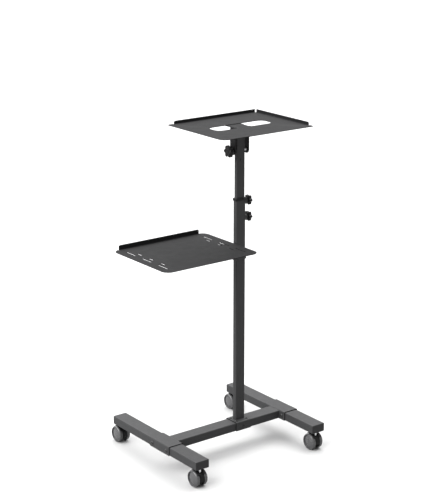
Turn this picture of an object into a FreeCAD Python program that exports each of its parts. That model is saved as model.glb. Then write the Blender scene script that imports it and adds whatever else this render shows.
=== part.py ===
import FreeCAD, Part
import Sketcher
import math
import os

# Portable projector stand: an H-shaped base on four twin-wheel casters, a
# telescoping mast, a tilting upper tray and a height-adjustable lower tray.
# Lengths in mm, +Z up, origin on the floor under the middle of the outline.

os.makedirs("parts", exist_ok=True)
doc = FreeCAD.newDocument("projector_stand")
V = FreeCAD.Vector
ROT = FreeCAD.Rotation

# ---------------------------------------------------------------- dimensions
DIMS = [
    # alias, value or formula, meaning
    ("base_x", "39.25", "X of the middle of the H base"),
    ("base_y", "-53", "Y of the crossbar centre line"),
    ("mast_x", "=base_x+61.5", "X of the mast axis"),
    ("leg_spread", "520", "leg centre to leg centre"),
    ("leg_length", "514", "leg with its end caps"),
    ("leg_mid", "41", "leg middle behind the crossbar line"),
    ("leg_width", "55", "leg and crossbar section, flat side"),
    ("leg_height", "31", "leg and crossbar section, height"),
    ("leg_corner", "3", "section corner radius"),
    ("leg_wall", "1.5", "section wall"),
    ("leg_bottom", "71", "underside of legs and crossbar"),
    ("leg_inner_width", "=leg_width-2*leg_wall", "inside of the section"),
    ("leg_inner_height", "=leg_height-2*leg_wall", "inside of the section"),
    ("leg_inner_corner", "=leg_corner-leg_wall", "inside corner radius"),
    ("cap_thick", "2.5", "end cap flange"),
    ("cap_plug", "6", "end cap plug depth"),
    ("cap_wall", "2", "end cap plug wall"),
    ("plug_gap", "0.1", "plug to tube gap"),
    ("sheet", "3", "saddle and bracket sheet"),
    ("bend", "3", "outside bend radius"),
    ("saddle_length", "117", "leg saddle along the leg"),
    ("leg_bolt_reach", "43", "leg bolts from the crossbar line"),
    ("leg_bolt_r", "4", "leg bolt shank radius"),
    ("leg_head_r", "7", "leg bolt head radius"),
    ("leg_head_high", "3.5", "leg bolt head height"),
    ("bolt_play", "0.1", "clearance hole over shank radius"),
    ("mast_saddle_width", "66", "mast saddle along the crossbar"),
    ("saddle_screw_x", "23.5", "mast saddle screws, X half spacing"),
    ("saddle_screw_y", "17.5", "mast saddle screws, Y half spacing"),
    ("saddle_screw_r", "3", "mast saddle screw radius"),
    ("saddle_head_r", "5.5", "mast saddle screw head radius"),
    ("saddle_head_high", "3", "mast saddle screw head height"),
    ("saddle_screw_long", "14", "mast saddle screw under the head"),
    ("tube_width", "40", "outer mast tube, X"),
    ("tube_depth", "20", "outer mast tube, Y"),
    ("tube_corner", "3.6", "outer mast tube corner radius"),
    ("tube_wall", "1.5", "outer mast tube wall"),
    ("tube_base", "=leg_bottom+leg_height+sheet", "foot of the outer tube"),
    ("tube_top", "930", "top of the outer tube"),
    ("tube_inner_width", "=tube_width-2*tube_wall", "inside"),
    ("tube_inner_depth", "=tube_depth-2*tube_wall", "inside"),
    ("tube_inner_corner", "=tube_corner-tube_wall", "inside"),
    ("collar_low", "925", "underside of the collar"),
    ("collar_top", "934", "top of the collar"),
    ("collar_width", "46", "collar, X"),
    ("collar_depth", "26", "collar, Y"),
    ("collar_corner", "6.5", "collar corner radius"),
    ("collar_gap", "0.5", "collar to mast gap"),
    ("knob_high", "921", "upper mast knob axis"),
    ("knob_low", "862", "lower mast knob axis"),
    ("boss_r", "9", "clamp boss radius"),
    ("boss_long", "10", "clamp boss length"),
    ("thread_r", "5", "clamp screw radius"),
    ("thread_play", "0.05", "clamp screw running clearance"),
    ("knob_reach", "33", "knob head from the mast axis"),
    ("knob_core", "14.5", "knob core radius"),
    ("knob_lobe", "4.6", "knob lobe radius"),
    ("knob_thick", "13", "knob head thickness"),
    ("knob_neck_r", "8.5", "knob neck radius"),
    ("knob_neck", "2", "knob neck length"),
    ("tip_gap", "0.5", "screw tip to tube gap"),
    ("mast_width", "35", "inner mast tube, X"),
    ("mast_depth", "15", "inner mast tube, Y"),
    ("mast_corner", "2.5", "inner mast tube corner radius"),
    ("mast_wall", "1.5", "inner mast tube wall"),
    ("mast_low", "520", "lower end of the inner tube"),
    ("mast_top", "1150", "upper end of the inner tube"),
    ("mast_plug_thick", "2.5", "top plug flange"),
    ("stop_high", "1071", "stop screws in the inner tube"),
    ("stop_r", "2.5", "stop screw radius"),
    ("stop_head_r", "4", "stop screw head radius"),
    ("stop_head_high", "1.6", "stop screw head height"),
    ("pivot_high", "1105", "tilt axis height"),
    ("pivot_r", "4", "tilt bolt radius"),
    ("pivot_play", "0.05", "tilt bolt running clearance"),
    ("spacer_r", "6", "tilt spacer radius"),
    ("ear_in", "27.5", "inside of the bracket ears, from the axis"),
    ("ear_gap", "0.3", "spacer to ear gap"),
    ("ear_width", "30", "bracket ear, Y"),
    ("web_width", "61", "bracket web, X"),
    ("web_depth", "104", "bracket web, Y"),
    ("web_screw_x", "20", "bracket screws, X half spacing"),
    ("web_screw_y", "43", "bracket screws, Y half spacing"),
    ("web_screw_r", "2.5", "bracket screw radius"),
    ("web_head_r", "4.5", "bracket screw head radius"),
    ("web_head_high", "2.5", "bracket screw head height"),
    ("tilt_head_gap", "1", "tilt knob to ear gap"),
    ("tilt_neck", "8", "tilt knob neck length"),
    ("tilt_neck_r", "9.5", "tilt knob neck radius"),
    ("tilt_core", "17", "tilt knob core radius"),
    ("tilt_lobe", "5.6", "tilt knob lobe radius"),
    ("tilt_thick", "15", "tilt knob head thickness"),
    ("tray_width", "390", "both trays, X"),
    ("tray_depth", "320", "both trays, Y"),
    ("tray_thick", "2", "tray plate"),
    ("upper_top", "1190", "top face of the upper tray"),
    ("upper_offset", "3", "upper tray middle from the mast axis, X"),
    ("upper_front_corner", "28", "upper tray front left corner"),
    ("upper_corner", "8", "other upper tray corners"),
    ("lip_high", "11", "upper tray lip above the top face"),
    ("lip_start", "25", "lip end from the tray corner"),
    ("lip_inset", "4", "lip face inside the tray edge"),
    ("side_lip_start", "22", "right lip end from the front corner"),
    ("lip_round", "6", "rounded lip end"),
    ("opening_width", "240", "upper tray opening, X"),
    ("opening_depth", "66", "upper tray opening, Y"),
    ("opening_corner", "24", "upper tray opening corner"),
    ("lower_top", "782", "top face of the lower tray"),
    ("lower_near", "44", "lower tray edge from the mast axis"),
    ("lower_offset_y", "-12", "lower tray middle, Y from the crossbar line"),
    ("lower_corner", "28", "lower tray corners"),
    ("lower_lip_high", "16", "lower tray lip above the top face"),
    ("slot_wide", "5", "strap slot width"),
    ("slot_long", "56", "outer strap slot length"),
    ("slot_short", "26", "inner strap slot length"),
    ("slot_edge", "33", "outer slots from the tray edge"),
    ("slot_edge_in", "51", "inner slots from the tray edge"),
    ("slot_pitch", "94", "outer slot pitch"),
    ("slot_pitch_in", "68", "inner slot pitch"),
    ("sleeve_low", "712", "clamp sleeve, lower end"),
    ("sleeve_high", "748", "clamp sleeve, upper end"),
    ("sleeve_gap", "1", "sleeve to tube gap"),
    ("sleeve_wall", "3", "sleeve wall"),
    ("arm_long", "310", "support arm reach from the mast axis"),
    ("arm_drop", "10", "support arm below the tray plate"),
    ("cleat_wide", "18", "tray cleat, X"),
    ("cleat_long", "140", "tray cleat, Y"),
    ("cleat_near", "140", "near cleat from the mast axis"),
    ("cleat_far", "300", "far cleat from the mast axis"),
    ("arm_width", "40", "support arm, Y"),
    ("arm_high", "25", "support arm, height"),
    ("arm_wall", "2", "support arm wall"),
    ("gusset", "70", "gusset length"),
    ("caster_inset", "18", "caster stem from the leg end"),
    ("caster_trail", "12", "axle behind the stem"),
    ("wheel_r", "30", "caster wheel radius"),
    ("wheel_in", "10", "wheel inner face from the middle"),
    ("wheel_wide", "13", "caster wheel width"),
    ("wheel_skin", "2.6", "closed outer face of the wheel at its middle"),
    ("axle_r", "3", "axle radius"),
    ("axle_play", "0.05", "wheel running clearance"),
    ("hood_r", "33.4", "fender outside radius"),
    ("hood_side", "18", "fender side from the middle"),
    ("hood_wall", "1.5", "fender thickness"),
    ("hood_front", "37", "fender front end above the axle, degrees"),
    ("hood_rear", "112", "fender rear end, degrees over from the front"),
    ("core_r", "29.5", "radius of the hood between the wheels"),
    ("core_half", "8.5", "half its width"),
    ("core_wall", "2.5", "its wall"),
    ("core_cut", "7", "its lower edge below the axle"),
    ("flange_in", "7", "inner side of the walls that carry the fenders"),
    ("stem_r", "5", "stem radius"),
    ("stem_low", "43", "stem lower end"),
    ("socket_r", "8", "socket wall radius"),
    ("stem_flange_r", "6.5", "stem flange radius"),
    ("stem_flange", "1.5", "stem flange thickness"),
]

sheet = doc.addObject("Spreadsheet::Sheet", "Dims")
for row, (alias, value, note) in enumerate(DIMS, start=1):
    sheet.set("A%d" % row, alias)
    sheet.set("B%d" % row, value)
    sheet.set("C%d" % row, note)
    sheet.setAlias("B%d" % row, alias)
doc.recompute()


class Q:
    """A sheet expression together with its present value."""

    def __init__(self, text, value):
        self.text = text
        self.value = float(value)

    @staticmethod
    def of(a):
        if isinstance(a, Q):
            return a
        return Q("%.6f" % a, a)

    def __add__(self, b):
        b = Q.of(b)
        return Q("(%s + %s)" % (self.text, b.text), self.value + b.value)

    def __radd__(self, b):
        return Q.of(b) + self

    def __sub__(self, b):
        b = Q.of(b)
        return Q("(%s - %s)" % (self.text, b.text), self.value - b.value)

    def __rsub__(self, b):
        return Q.of(b) - self

    def __mul__(self, b):
        b = Q.of(b)
        return Q("(%s * %s)" % (self.text, b.text), self.value * b.value)

    def __rmul__(self, b):
        return Q.of(b) * self

    def __truediv__(self, b):
        b = Q.of(b)
        return Q("(%s / %s)" % (self.text, b.text), self.value / b.value)

    def __neg__(self):
        return Q("(0 - %s)" % self.text, -self.value)


class Sheet:
    def __getattr__(self, name):
        return Q("Dims." + name, sheet.get(name))


d = Sheet()


def bind(obj, prop, q):
    q = Q.of(q)
    obj.setExpression(prop, q.text)


def place(obj, x=0, y=0, z=0, rot=None):
    """Placement of an object, its position driven by the sheet."""
    x, y, z = Q.of(x), Q.of(y), Q.of(z)
    obj.Placement = FreeCAD.Placement(V(x.value, y.value, z.value), rot or ROT())
    bind(obj, "Placement.Base.x", x)
    bind(obj, "Placement.Base.y", y)
    bind(obj, "Placement.Base.z", z)
    return obj


# ------------------------------------------------------------ sketch helpers
PLANES = {"XY": "XY_Plane", "XZ": "XZ_Plane", "YZ": "YZ_Plane"}


def new_body(label):
    b = doc.addObject("PartDesign::Body", label)
    b.Label = label
    return b


def origin_of(body, role):
    for f in body.Origin.OriginFeatures:
        if f.Role == role:
            return f
    return None


def new_sketch(body, plane, off=None):
    sk = body.newObject("Sketcher::SketchObject", body.Name + "_sketch")
    sk.AttachmentSupport = (origin_of(body, PLANES[plane]), [""])
    sk.MapMode = "FlatFace"
    if off is not None:
        off = Q.of(off)
        sk.AttachmentOffset = FreeCAD.Placement(V(0, 0, off.value), ROT())
        bind(sk, "AttachmentOffset.Base.z", off)
    return sk


def fix_point(sk, geo, pos, x, y):
    x, y = Q.of(x), Q.of(y)
    if abs(x.value) < 1e-9:
        sk.addConstraint(Sketcher.Constraint("PointOnObject", geo, pos, -2))
    elif x.value > 0:
        i = sk.addConstraint(Sketcher.Constraint("DistanceX", -1, 1, geo, pos, x.value))
        bind(sk, "Constraints[%d]" % i, x)
    else:
        i = sk.addConstraint(Sketcher.Constraint("DistanceX", geo, pos, -1, 1, -x.value))
        bind(sk, "Constraints[%d]" % i, -x)
    if abs(y.value) < 1e-9:
        sk.addConstraint(Sketcher.Constraint("PointOnObject", geo, pos, -1))
    elif y.value > 0:
        i = sk.addConstraint(Sketcher.Constraint("DistanceY", -1, 1, geo, pos, y.value))
        bind(sk, "Constraints[%d]" % i, y)
    else:
        i = sk.addConstraint(Sketcher.Constraint("DistanceY", geo, pos, -1, 1, -y.value))
        bind(sk, "Constraints[%d]" % i, -y)


def circle(sk, x, y, r):
    x, y, r = Q.of(x), Q.of(y), Q.of(r)
    g = sk.addGeometry(Part.Circle(V(x.value, y.value, 0), V(0, 0, 1), r.value), False)
    fix_point(sk, g, 3, x, y)
    i = sk.addConstraint(Sketcher.Constraint("Radius", g, r.value))
    bind(sk, "Constraints[%d]" % i, r)
    return g


def polygon(sk, pts):
    pts = [(Q.of(a), Q.of(b)) for a, b in pts]
    n = len(pts)
    ids = []
    for k in range(n):
        a, b = pts[k], pts[(k + 1) % n]
        ids.append(sk.addGeometry(Part.LineSegment(
            V(a[0].value, a[1].value, 0), V(b[0].value, b[1].value, 0)), False))
    for k in range(n):
        sk.addConstraint(Sketcher.Constraint("Coincident", ids[k], 2, ids[(k + 1) % n], 1))
    for k in range(n):
        fix_point(sk, ids[k], 1, pts[k][0], pts[k][1])
    return ids


def arc(cx, cy, r, a0, a1):
    return Part.ArcOfCircle(Part.Circle(V(cx, cy, 0), V(0, 0, 1), r),
                            math.radians(a0), math.radians(a1))


def rounded(sk, w, h, radii):
    """Rectangle about the sketch origin; corner radii one value or four
    (lower left, lower right, upper right, upper left)."""
    w, h = Q.of(w), Q.of(h)
    if not isinstance(radii, (list, tuple)):
        radii = [radii] * 4
    radii = [Q.of(r) for r in radii]
    a, b = w.value / 2, h.value / 2
    r0, r1, r2, r3 = [r.value for r in radii]
    bottom = sk.addGeometry(Part.LineSegment(V(-a + r0, -b, 0), V(a - r1, -b, 0)), False)
    right = sk.addGeometry(Part.LineSegment(V(a, -b + r1, 0), V(a, b - r2, 0)), False)
    top = sk.addGeometry(Part.LineSegment(V(a - r2, b, 0), V(-a + r3, b, 0)), False)
    left = sk.addGeometry(Part.LineSegment(V(-a, b - r3, 0), V(-a, -b + r0, 0)), False)
    c1 = sk.addGeometry(arc(a - r1, -b + r1, r1, 270, 360), False)
    c2 = sk.addGeometry(arc(a - r2, b - r2, r2, 0, 90), False)
    c3 = sk.addGeometry(arc(-a + r3, b - r3, r3, 90, 180), False)
    c0 = sk.addGeometry(arc(-a + r0, -b + r0, r0, 180, 270), False)
    joins = ((bottom, 2, c1, 1), (c1, 2, right, 1), (right, 2, c2, 1), (c2, 2, top, 1),
             (top, 2, c3, 1), (c3, 2, left, 1), (left, 2, c0, 1), (c0, 2, bottom, 1))
    for j in joins:
        sk.addConstraint(Sketcher.Constraint("Tangent", *j))
    sk.addConstraint(Sketcher.Constraint("Horizontal", bottom))
    sk.addConstraint(Sketcher.Constraint("Horizontal", top))
    sk.addConstraint(Sketcher.Constraint("Vertical", left))
    sk.addConstraint(Sketcher.Constraint("Vertical", right))
    for g, q in ((c0, radii[0]), (c1, radii[1]), (c2, radii[2]), (c3, radii[3])):
        i = sk.addConstraint(Sketcher.Constraint("Radius", g, q.value))
        bind(sk, "Constraints[%d]" % i, q)
    for kind, seq, q in (("DistanceX", (left, 1, -1, 1), w / 2),
                         ("DistanceX", (-1, 1, right, 1), w / 2),
                         ("DistanceY", (bottom, 1, -1, 1), h / 2),
                         ("DistanceY", (-1, 1, top, 1), h / 2)):
        i = sk.addConstraint(Sketcher.Constraint(kind, *seq, q.value))
        bind(sk, "Constraints[%d]" % i, q)


def slot(sk, cx, cy, length, width):
    """Round-ended slot running along the sketch's second axis."""
    cx, cy, length, width = Q.of(cx), Q.of(cy), Q.of(length), Q.of(width)
    r = width / 2
    up = cy + (length - width) / 2
    dn = cy - (length - width) / 2
    a = sk.addGeometry(arc(cx.value, up.value, r.value, 0, 180), False)
    b = sk.addGeometry(arc(cx.value, dn.value, r.value, 180, 360), False)
    lf = sk.addGeometry(Part.LineSegment(V(cx.value - r.value, up.value, 0),
                                         V(cx.value - r.value, dn.value, 0)), False)
    rt = sk.addGeometry(Part.LineSegment(V(cx.value + r.value, dn.value, 0),
                                         V(cx.value + r.value, up.value, 0)), False)
    for j in ((a, 2, lf, 1), (lf, 2, b, 1), (b, 2, rt, 1), (rt, 2, a, 1)):
        sk.addConstraint(Sketcher.Constraint("Tangent", *j))
    sk.addConstraint(Sketcher.Constraint("Vertical", lf))
    i = sk.addConstraint(Sketcher.Constraint("Radius", a, r.value))
    bind(sk, "Constraints[%d]" % i, r)
    fix_point(sk, a, 3, cx, up)
    fix_point(sk, b, 3, cx, dn)


# ----------------------------------------------------------- feature helpers
def pad(body, sk, length, symmetric=False, reverse=False):
    f = body.newObject("PartDesign::Pad", body.Name + "_pad")
    f.Profile = sk
    bind(f, "Length", length)
    if symmetric:
        f.SideType = "Symmetric"
    f.Reversed = reverse
    sk.Visibility = False
    return f


def pocket(body, sk, length, symmetric=False, reverse=False):
    f = body.newObject("PartDesign::Pocket", body.Name + "_pocket")
    f.Profile = sk
    bind(f, "Length", length)
    if symmetric:
        f.SideType = "Symmetric"
    f.Reversed = reverse
    sk.Visibility = False
    return f


def edge_names(shape, test):
    return ["Edge%d" % (i + 1) for i, e in enumerate(shape.Edges) if test(e)]


def fillet(body, test, r):
    doc.recompute()
    base = body.Tip
    names = edge_names(base.Shape, test)
    f = body.newObject("PartDesign::Fillet", body.Name + "_fillet")
    f.Base = (base, names)
    bind(f, "Radius", r)
    return f


def chamfer(body, test, size):
    doc.recompute()
    base = body.Tip
    names = edge_names(base.Shape, test)
    f = body.newObject("PartDesign::Chamfer", body.Name + "_chamfer")
    f.Base = (base, names)
    bind(f, "Size", size)
    return f


def along(e, axis):
    """A straight edge parallel to an axis."""
    if len(e.Vertexes) != 2:
        return False
    p = e.Vertexes[1].Point - e.Vertexes[0].Point
    c = [abs(p.x), abs(p.y), abs(p.z)]
    k = {"X": 0, "Y": 1, "Z": 2}[axis]
    return c[k] > 1e-6 and sum(c) - c[k] < 1e-6 and e.Curve.TypeId == "Part::GeomLine"


AIM = {"Z": ROT(), "X": ROT(V(0, 1, 0), 90), "-X": ROT(V(0, 1, 0), -90),
       "Y": ROT(V(1, 0, 0), -90), "-Y": ROT(V(1, 0, 0), 90)}


def cylinder(name, x, y, z, r, length, axis="Z"):
    c = doc.addObject("Part::Cylinder", name)
    bind(c, "Radius", r)
    bind(c, "Height", length)
    return place(c, x, y, z, AIM[axis])


def prism(name, x, y, z, r, length, axis="Z"):
    c = doc.addObject("Part::Prism", name)
    c.Polygon = 6
    bind(c, "Circumradius", r)
    bind(c, "Height", length)
    return place(c, x, y, z, AIM[axis])


def block(name, x, y, z, lx, ly, lz, rot=None):
    c = doc.addObject("Part::Box", name)
    bind(c, "Length", lx)
    bind(c, "Width", ly)
    bind(c, "Height", lz)
    return place(c, x, y, z, rot)


def fuse(label, items):
    f = doc.addObject("Part::MultiFuse", label)
    f.Shapes = items
    f.Label = label
    return f


def cut(label, base, tool):
    f = doc.addObject("Part::Cut", label)
    f.Base = base
    f.Tool = tool
    f.Label = label
    return f


def common(label, items):
    f = doc.addObject("Part::MultiCommon", label)
    f.Shapes = items
    f.Label = label
    return f


def aimed(angle, reach):
    """Point in the YZ plane, its angle in degrees over from -Y."""
    a = Q.of(angle)
    c = Q("cos(%s * 1 deg)" % a.text, math.cos(math.radians(a.value)))
    s = Q("sin(%s * 1 deg)" % a.text, math.sin(math.radians(a.value)))
    return -c * reach, s * reach


NODES = []


def node(obj, x=0, y=0, z=0, rot=None):
    place(obj, x, y, z, rot)
    NODES.append(obj)
    return obj


# ---------------------------------------------------------------- base: legs
leg_mid_z = d.leg_bottom + d.leg_height / 2
tube_long = d.leg_length - 2 * d.cap_thick
stem_reach = d.leg_length / 2 - d.caster_inset
SIDES = (("left", -1), ("right", 1))

for side, sign in SIDES:
    b = new_body("leg_tube_" + side)
    sk = new_sketch(b, "XZ")
    rounded(sk, d.leg_width, d.leg_height, d.leg_corner)
    rounded(sk, d.leg_inner_width, d.leg_inner_height, d.leg_inner_corner)
    pad(b, sk, tube_long, symmetric=True)
    sk = new_sketch(b, "XY")
    circle(sk, 0, stem_reach, d.stem_r + d.bolt_play)
    circle(sk, 0, -stem_reach, d.stem_r + d.bolt_play)
    pocket(b, sk, d.leg_height)
    sk = new_sketch(b, "YZ")
    circle(sk, d.leg_bolt_reach - d.leg_mid, 0, d.leg_bolt_r + d.bolt_play)
    circle(sk, -d.leg_bolt_reach - d.leg_mid, 0, d.leg_bolt_r + d.bolt_play)
    pocket(b, sk, d.leg_width + 10, symmetric=True)
    node(b, d.base_x + sign * d.leg_spread / 2, d.base_y + d.leg_mid, leg_mid_z)

caps = []
for side, sign in SIDES:
    for end, way in (("front", -1), ("rear", 1)):
        b = new_body("cap_%s_%s" % (side, end))
        sk = new_sketch(b, "XZ")
        rounded(sk, d.leg_width, d.leg_height, d.leg_corner)
        pad(b, sk, d.cap_thick)
        sk = new_sketch(b, "XZ")
        rounded(sk, d.leg_inner_width - 2 * d.plug_gap,
                d.leg_inner_height - 2 * d.plug_gap, d.leg_inner_corner)
        rounded(sk, d.leg_inner_width - 2 * d.plug_gap - 2 * d.cap_wall,
                d.leg_inner_height - 2 * d.plug_gap - 2 * d.cap_wall, 1.0)
        pad(b, sk, d.cap_plug, reverse=True)
        chamfer(b, lambda e, lim=-d.cap_thick.value + 1e-4: max(
            v.Point.y for v in e.Vertexes) < lim, 0.8)
        place(b, d.base_x + sign * d.leg_spread / 2,
              d.base_y + d.leg_mid + way * tube_long / 2, leg_mid_z,
              ROT(V(0, 0, 1), 180 if way > 0 else 0))
        caps.append(b)
node(fuse("leg_end_caps", caps))

# ------------------------------------------------------------ base: crossbar
b = new_body("crossbar_tube")
sk = new_sketch(b, "YZ")
rounded(sk, d.leg_width, d.leg_height, d.leg_corner)
rounded(sk, d.leg_inner_width, d.leg_inner_height, d.leg_inner_corner)
pad(b, sk, d.leg_spread - d.leg_width - 2 * d.sheet, symmetric=True)
mast_dx = d.mast_x - d.base_x
sk = new_sketch(b, "XY")
for sx in (-1, 1):
    for sy in (-1, 1):
        circle(sk, mast_dx + sx * d.saddle_screw_x, sy * d.saddle_screw_y,
               d.saddle_screw_r + d.bolt_play)
pocket(b, sk, d.leg_height, reverse=True)
sk = new_sketch(b, "XZ")
circle(sk, mast_dx, 0, d.saddle_screw_r + d.bolt_play)
pocket(b, sk, d.leg_width + 10, symmetric=True)
node(b, d.base_x, d.base_y, leg_mid_z)

# ------------------------------------------------------------- leg saddles
for side, sign in SIDES:
    b = new_body("leg_saddle_" + side)
    sk = new_sketch(b, "XZ")
    ho = d.leg_width / 2 + d.sheet
    hi = d.leg_width / 2
    polygon(sk, [(-ho, 0), (-hi, 0), (-hi, d.leg_height), (hi, d.leg_height),
                 (hi, 0), (ho, 0), (ho, d.leg_height + d.sheet),
                 (-ho, d.leg_height + d.sheet)])
    pad(b, sk, d.saddle_length, symmetric=True)
    top = d.leg_height.value + d.sheet.value
    fillet(b, lambda e, t=top, w=ho.value: along(e, "Y")
           and abs(e.Vertexes[0].Point.z - t) < 1e-4
           and abs(abs(e.Vertexes[0].Point.x) - w) < 1e-4, d.bend)
    sk = new_sketch(b, "YZ")
    circle(sk, d.leg_bolt_reach, d.leg_height / 2, d.leg_bolt_r + d.bolt_play)
    circle(sk, -d.leg_bolt_reach, d.leg_height / 2, d.leg_bolt_r + d.bolt_play)
    pocket(b, sk, d.leg_width + 20, symmetric=True)
    node(b, d.base_x + sign * d.leg_spread / 2, d.base_y, d.leg_bottom)

items = []
for side, sign in SIDES:
    for way in (-1, 1):
        half = d.leg_width / 2 + d.sheet
        cx = sign * d.leg_spread / 2
        items.append(cylinder("bolt_shank", cx - half, way * d.leg_bolt_reach, 0,
                              d.leg_bolt_r, 2 * half, "X"))
        items.append(cylinder("bolt_head", cx + half, way * d.leg_bolt_reach, 0,
                              d.leg_head_r, d.leg_head_high, "X"))
        items.append(cylinder("bolt_head", cx - half, way * d.leg_bolt_reach, 0,
                              d.leg_head_r, d.leg_head_high, "-X"))
node(fuse("leg_bolts", items), d.base_x, d.base_y, leg_mid_z)

# ------------------------------------------------------------- mast saddle
b = new_body("mast_saddle")
sk = new_sketch(b, "YZ")
polygon(sk, [(-ho, 0), (-hi, 0), (-hi, d.leg_height), (hi, d.leg_height),
             (hi, 0), (ho, 0), (ho, d.leg_height + d.sheet),
             (-ho, d.leg_height + d.sheet)])
pad(b, sk, d.mast_saddle_width, symmetric=True)
fillet(b, lambda e, t=top, w=ho.value: along(e, "X")
       and abs(e.Vertexes[0].Point.z - t) < 1e-4
       and abs(abs(e.Vertexes[0].Point.y) - w) < 1e-4, d.bend)
sk = new_sketch(b, "XY", d.leg_height - 5)
for sx in (-1, 1):
    for sy in (-1, 1):
        circle(sk, sx * d.saddle_screw_x, sy * d.saddle_screw_y,
               d.saddle_screw_r + d.bolt_play)
pocket(b, sk, 20, reverse=True)
sk = new_sketch(b, "XZ")
circle(sk, 0, d.leg_height / 2, d.saddle_screw_r + d.bolt_play)
pocket(b, sk, d.leg_width + 20, symmetric=True)
node(b, d.mast_x, d.base_y, d.leg_bottom)

items = []
for sx in (-1, 1):
    for sy in (-1, 1):
        x, y = sx * d.saddle_screw_x, sy * d.saddle_screw_y
        items.append(cylinder("screw_head", x, y, 0, d.saddle_head_r, d.saddle_head_high))
        items.append(cylinder("screw_shank", x, y, -d.saddle_screw_long,
                              d.saddle_screw_r, d.saddle_screw_long))
cz = -d.sheet - d.leg_height / 2
items.append(cylinder("cross_shank", 0, -ho, cz, d.saddle_screw_r, 2 * ho, "Y"))
items.append(cylinder("cross_head", 0, -ho, cz, d.saddle_head_r, d.saddle_head_high, "-Y"))
items.append(cylinder("cross_nut", 0, ho, cz, d.saddle_head_r, d.saddle_head_high, "Y"))
node(fuse("mast_saddle_screws", items), d.mast_x, d.base_y, d.tube_base)

# ------------------------------------------------------------- outer mast
b = new_body("mast_outer_tube")
sk = new_sketch(b, "XY")
rounded(sk, d.tube_width, d.tube_depth, d.tube_corner)
rounded(sk, d.tube_inner_width, d.tube_inner_depth, d.tube_inner_corner)
pad(b, sk, d.tube_top - d.tube_base)
sk = new_sketch(b, "YZ")
circle(sk, 0, d.knob_high - d.tube_base, d.thread_r + d.bolt_play)
circle(sk, 0, d.knob_low - d.tube_base, d.thread_r + d.bolt_play)
pocket(b, sk, d.tube_width, reverse=True)
node(b, d.mast_x, d.base_y, d.tube_base)

bosses = []
for hz in (d.knob_high, d.knob_low):
    outer = cylinder("boss_body", 0, 0, hz - d.knob_low, d.boss_r, d.boss_long, "X")
    bore = cylinder("boss_bore", -1, 0, hz - d.knob_low, d.thread_r + d.thread_play,
                    d.boss_long + 2, "X")
    bosses.append(cut("boss", outer, bore))
node(fuse("clamp_bosses", bosses), d.mast_x + d.tube_width / 2, d.base_y, d.knob_low)

b = new_body("mast_collar")
sk = new_sketch(b, "XY")
rounded(sk, d.collar_width, d.collar_depth, d.collar_corner)
rounded(sk, d.mast_width + 2 * d.collar_gap, d.mast_depth + 2 * d.collar_gap,
        d.mast_corner + d.collar_gap)
pad(b, sk, d.collar_top - d.collar_low)
sk = new_sketch(b, "XY")
rounded(sk, d.tube_width + 2 * d.plug_gap, d.tube_depth + 2 * d.plug_gap,
        d.tube_corner + d.plug_gap)
pocket(b, sk, d.tube_top - d.collar_low, reverse=True)
sk = new_sketch(b, "YZ", d.mast_width / 2)
circle(sk, 0, d.knob_high - d.collar_low, d.boss_r + 0.6)
pocket(b, sk, 20, reverse=True)
chamfer(b, lambda e, t=(d.collar_top - d.collar_low).value, w=d.mast_width.value / 2 + 1.5:
        min(v.Point.z for v in e.Vertexes) > t - 1e-4
        and (max(abs(v.Point.x) for v in e.Vertexes) > w
             or max(abs(v.Point.y) for v in e.Vertexes) > d.mast_depth.value / 2 + 1.5), 1.5)
node(b, d.mast_x, d.base_y, d.collar_low)

# ------------------------------------------------------------- inner mast
b = new_body("mast_inner_tube")
sk = new_sketch(b, "XY")
rounded(sk, d.mast_width, d.mast_depth, d.mast_corner)
rounded(sk, d.mast_width - 2 * d.mast_wall, d.mast_depth - 2 * d.mast_wall,
        d.mast_corner - d.mast_wall)
pad(b, sk, d.mast_top - d.mast_low)
sk = new_sketch(b, "YZ")
circle(sk, 0, d.pivot_high - d.mast_low, d.pivot_r + d.bolt_play)
pocket(b, sk, d.mast_width + 10, symmetric=True)
sk = new_sketch(b, "YZ")
circle(sk, 0, d.stop_high - d.mast_low, d.stop_r + d.bolt_play)
pocket(b, sk, d.mast_width)
sk = new_sketch(b, "XZ")
circle(sk, 0, d.stop_high - d.mast_low, d.stop_r + d.bolt_play)
pocket(b, sk, d.mast_depth, reverse=True)
node(b, d.mast_x, d.base_y, d.mast_low)

items = [
    cylinder("stop_head", -d.mast_width / 2, 0, 0, d.stop_head_r, d.stop_head_high, "-X"),
    cylinder("stop_shank", -d.mast_width / 2, 0, 0, d.stop_r, 5, "X"),
    cylinder("stop_head", 0, -d.mast_depth / 2, 0, d.stop_head_r, d.stop_head_high, "-Y"),
    cylinder("stop_shank", 0, -d.mast_depth / 2, 0, d.stop_r, 5, "Y"),
]
node(fuse("mast_stop_screws", items), d.mast_x, d.base_y, d.stop_high)

b = new_body("mast_top_plug")
sk = new_sketch(b, "XY")
rounded(sk, d.mast_width, d.mast_depth, d.mast_corner)
pad(b, sk, d.mast_plug_thick)
sk = new_sketch(b, "XY")
rounded(sk, d.mast_width - 2 * d.mast_wall - 2 * d.plug_gap,
        d.mast_depth - 2 * d.mast_wall - 2 * d.plug_gap, 0.8)
rounded(sk, d.mast_width - 2 * d.mast_wall - 2 * d.plug_gap - 3,
        d.mast_depth - 2 * d.mast_wall - 2 * d.plug_gap - 3, 0.5)
pad(b, sk, 12, reverse=True)
chamfer(b, lambda e, t=d.mast_plug_thick.value: min(
    v.Point.z for v in e.Vertexes) > t - 1e-4, 0.8)
node(b, d.mast_x, d.base_y, d.mast_top)

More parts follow.
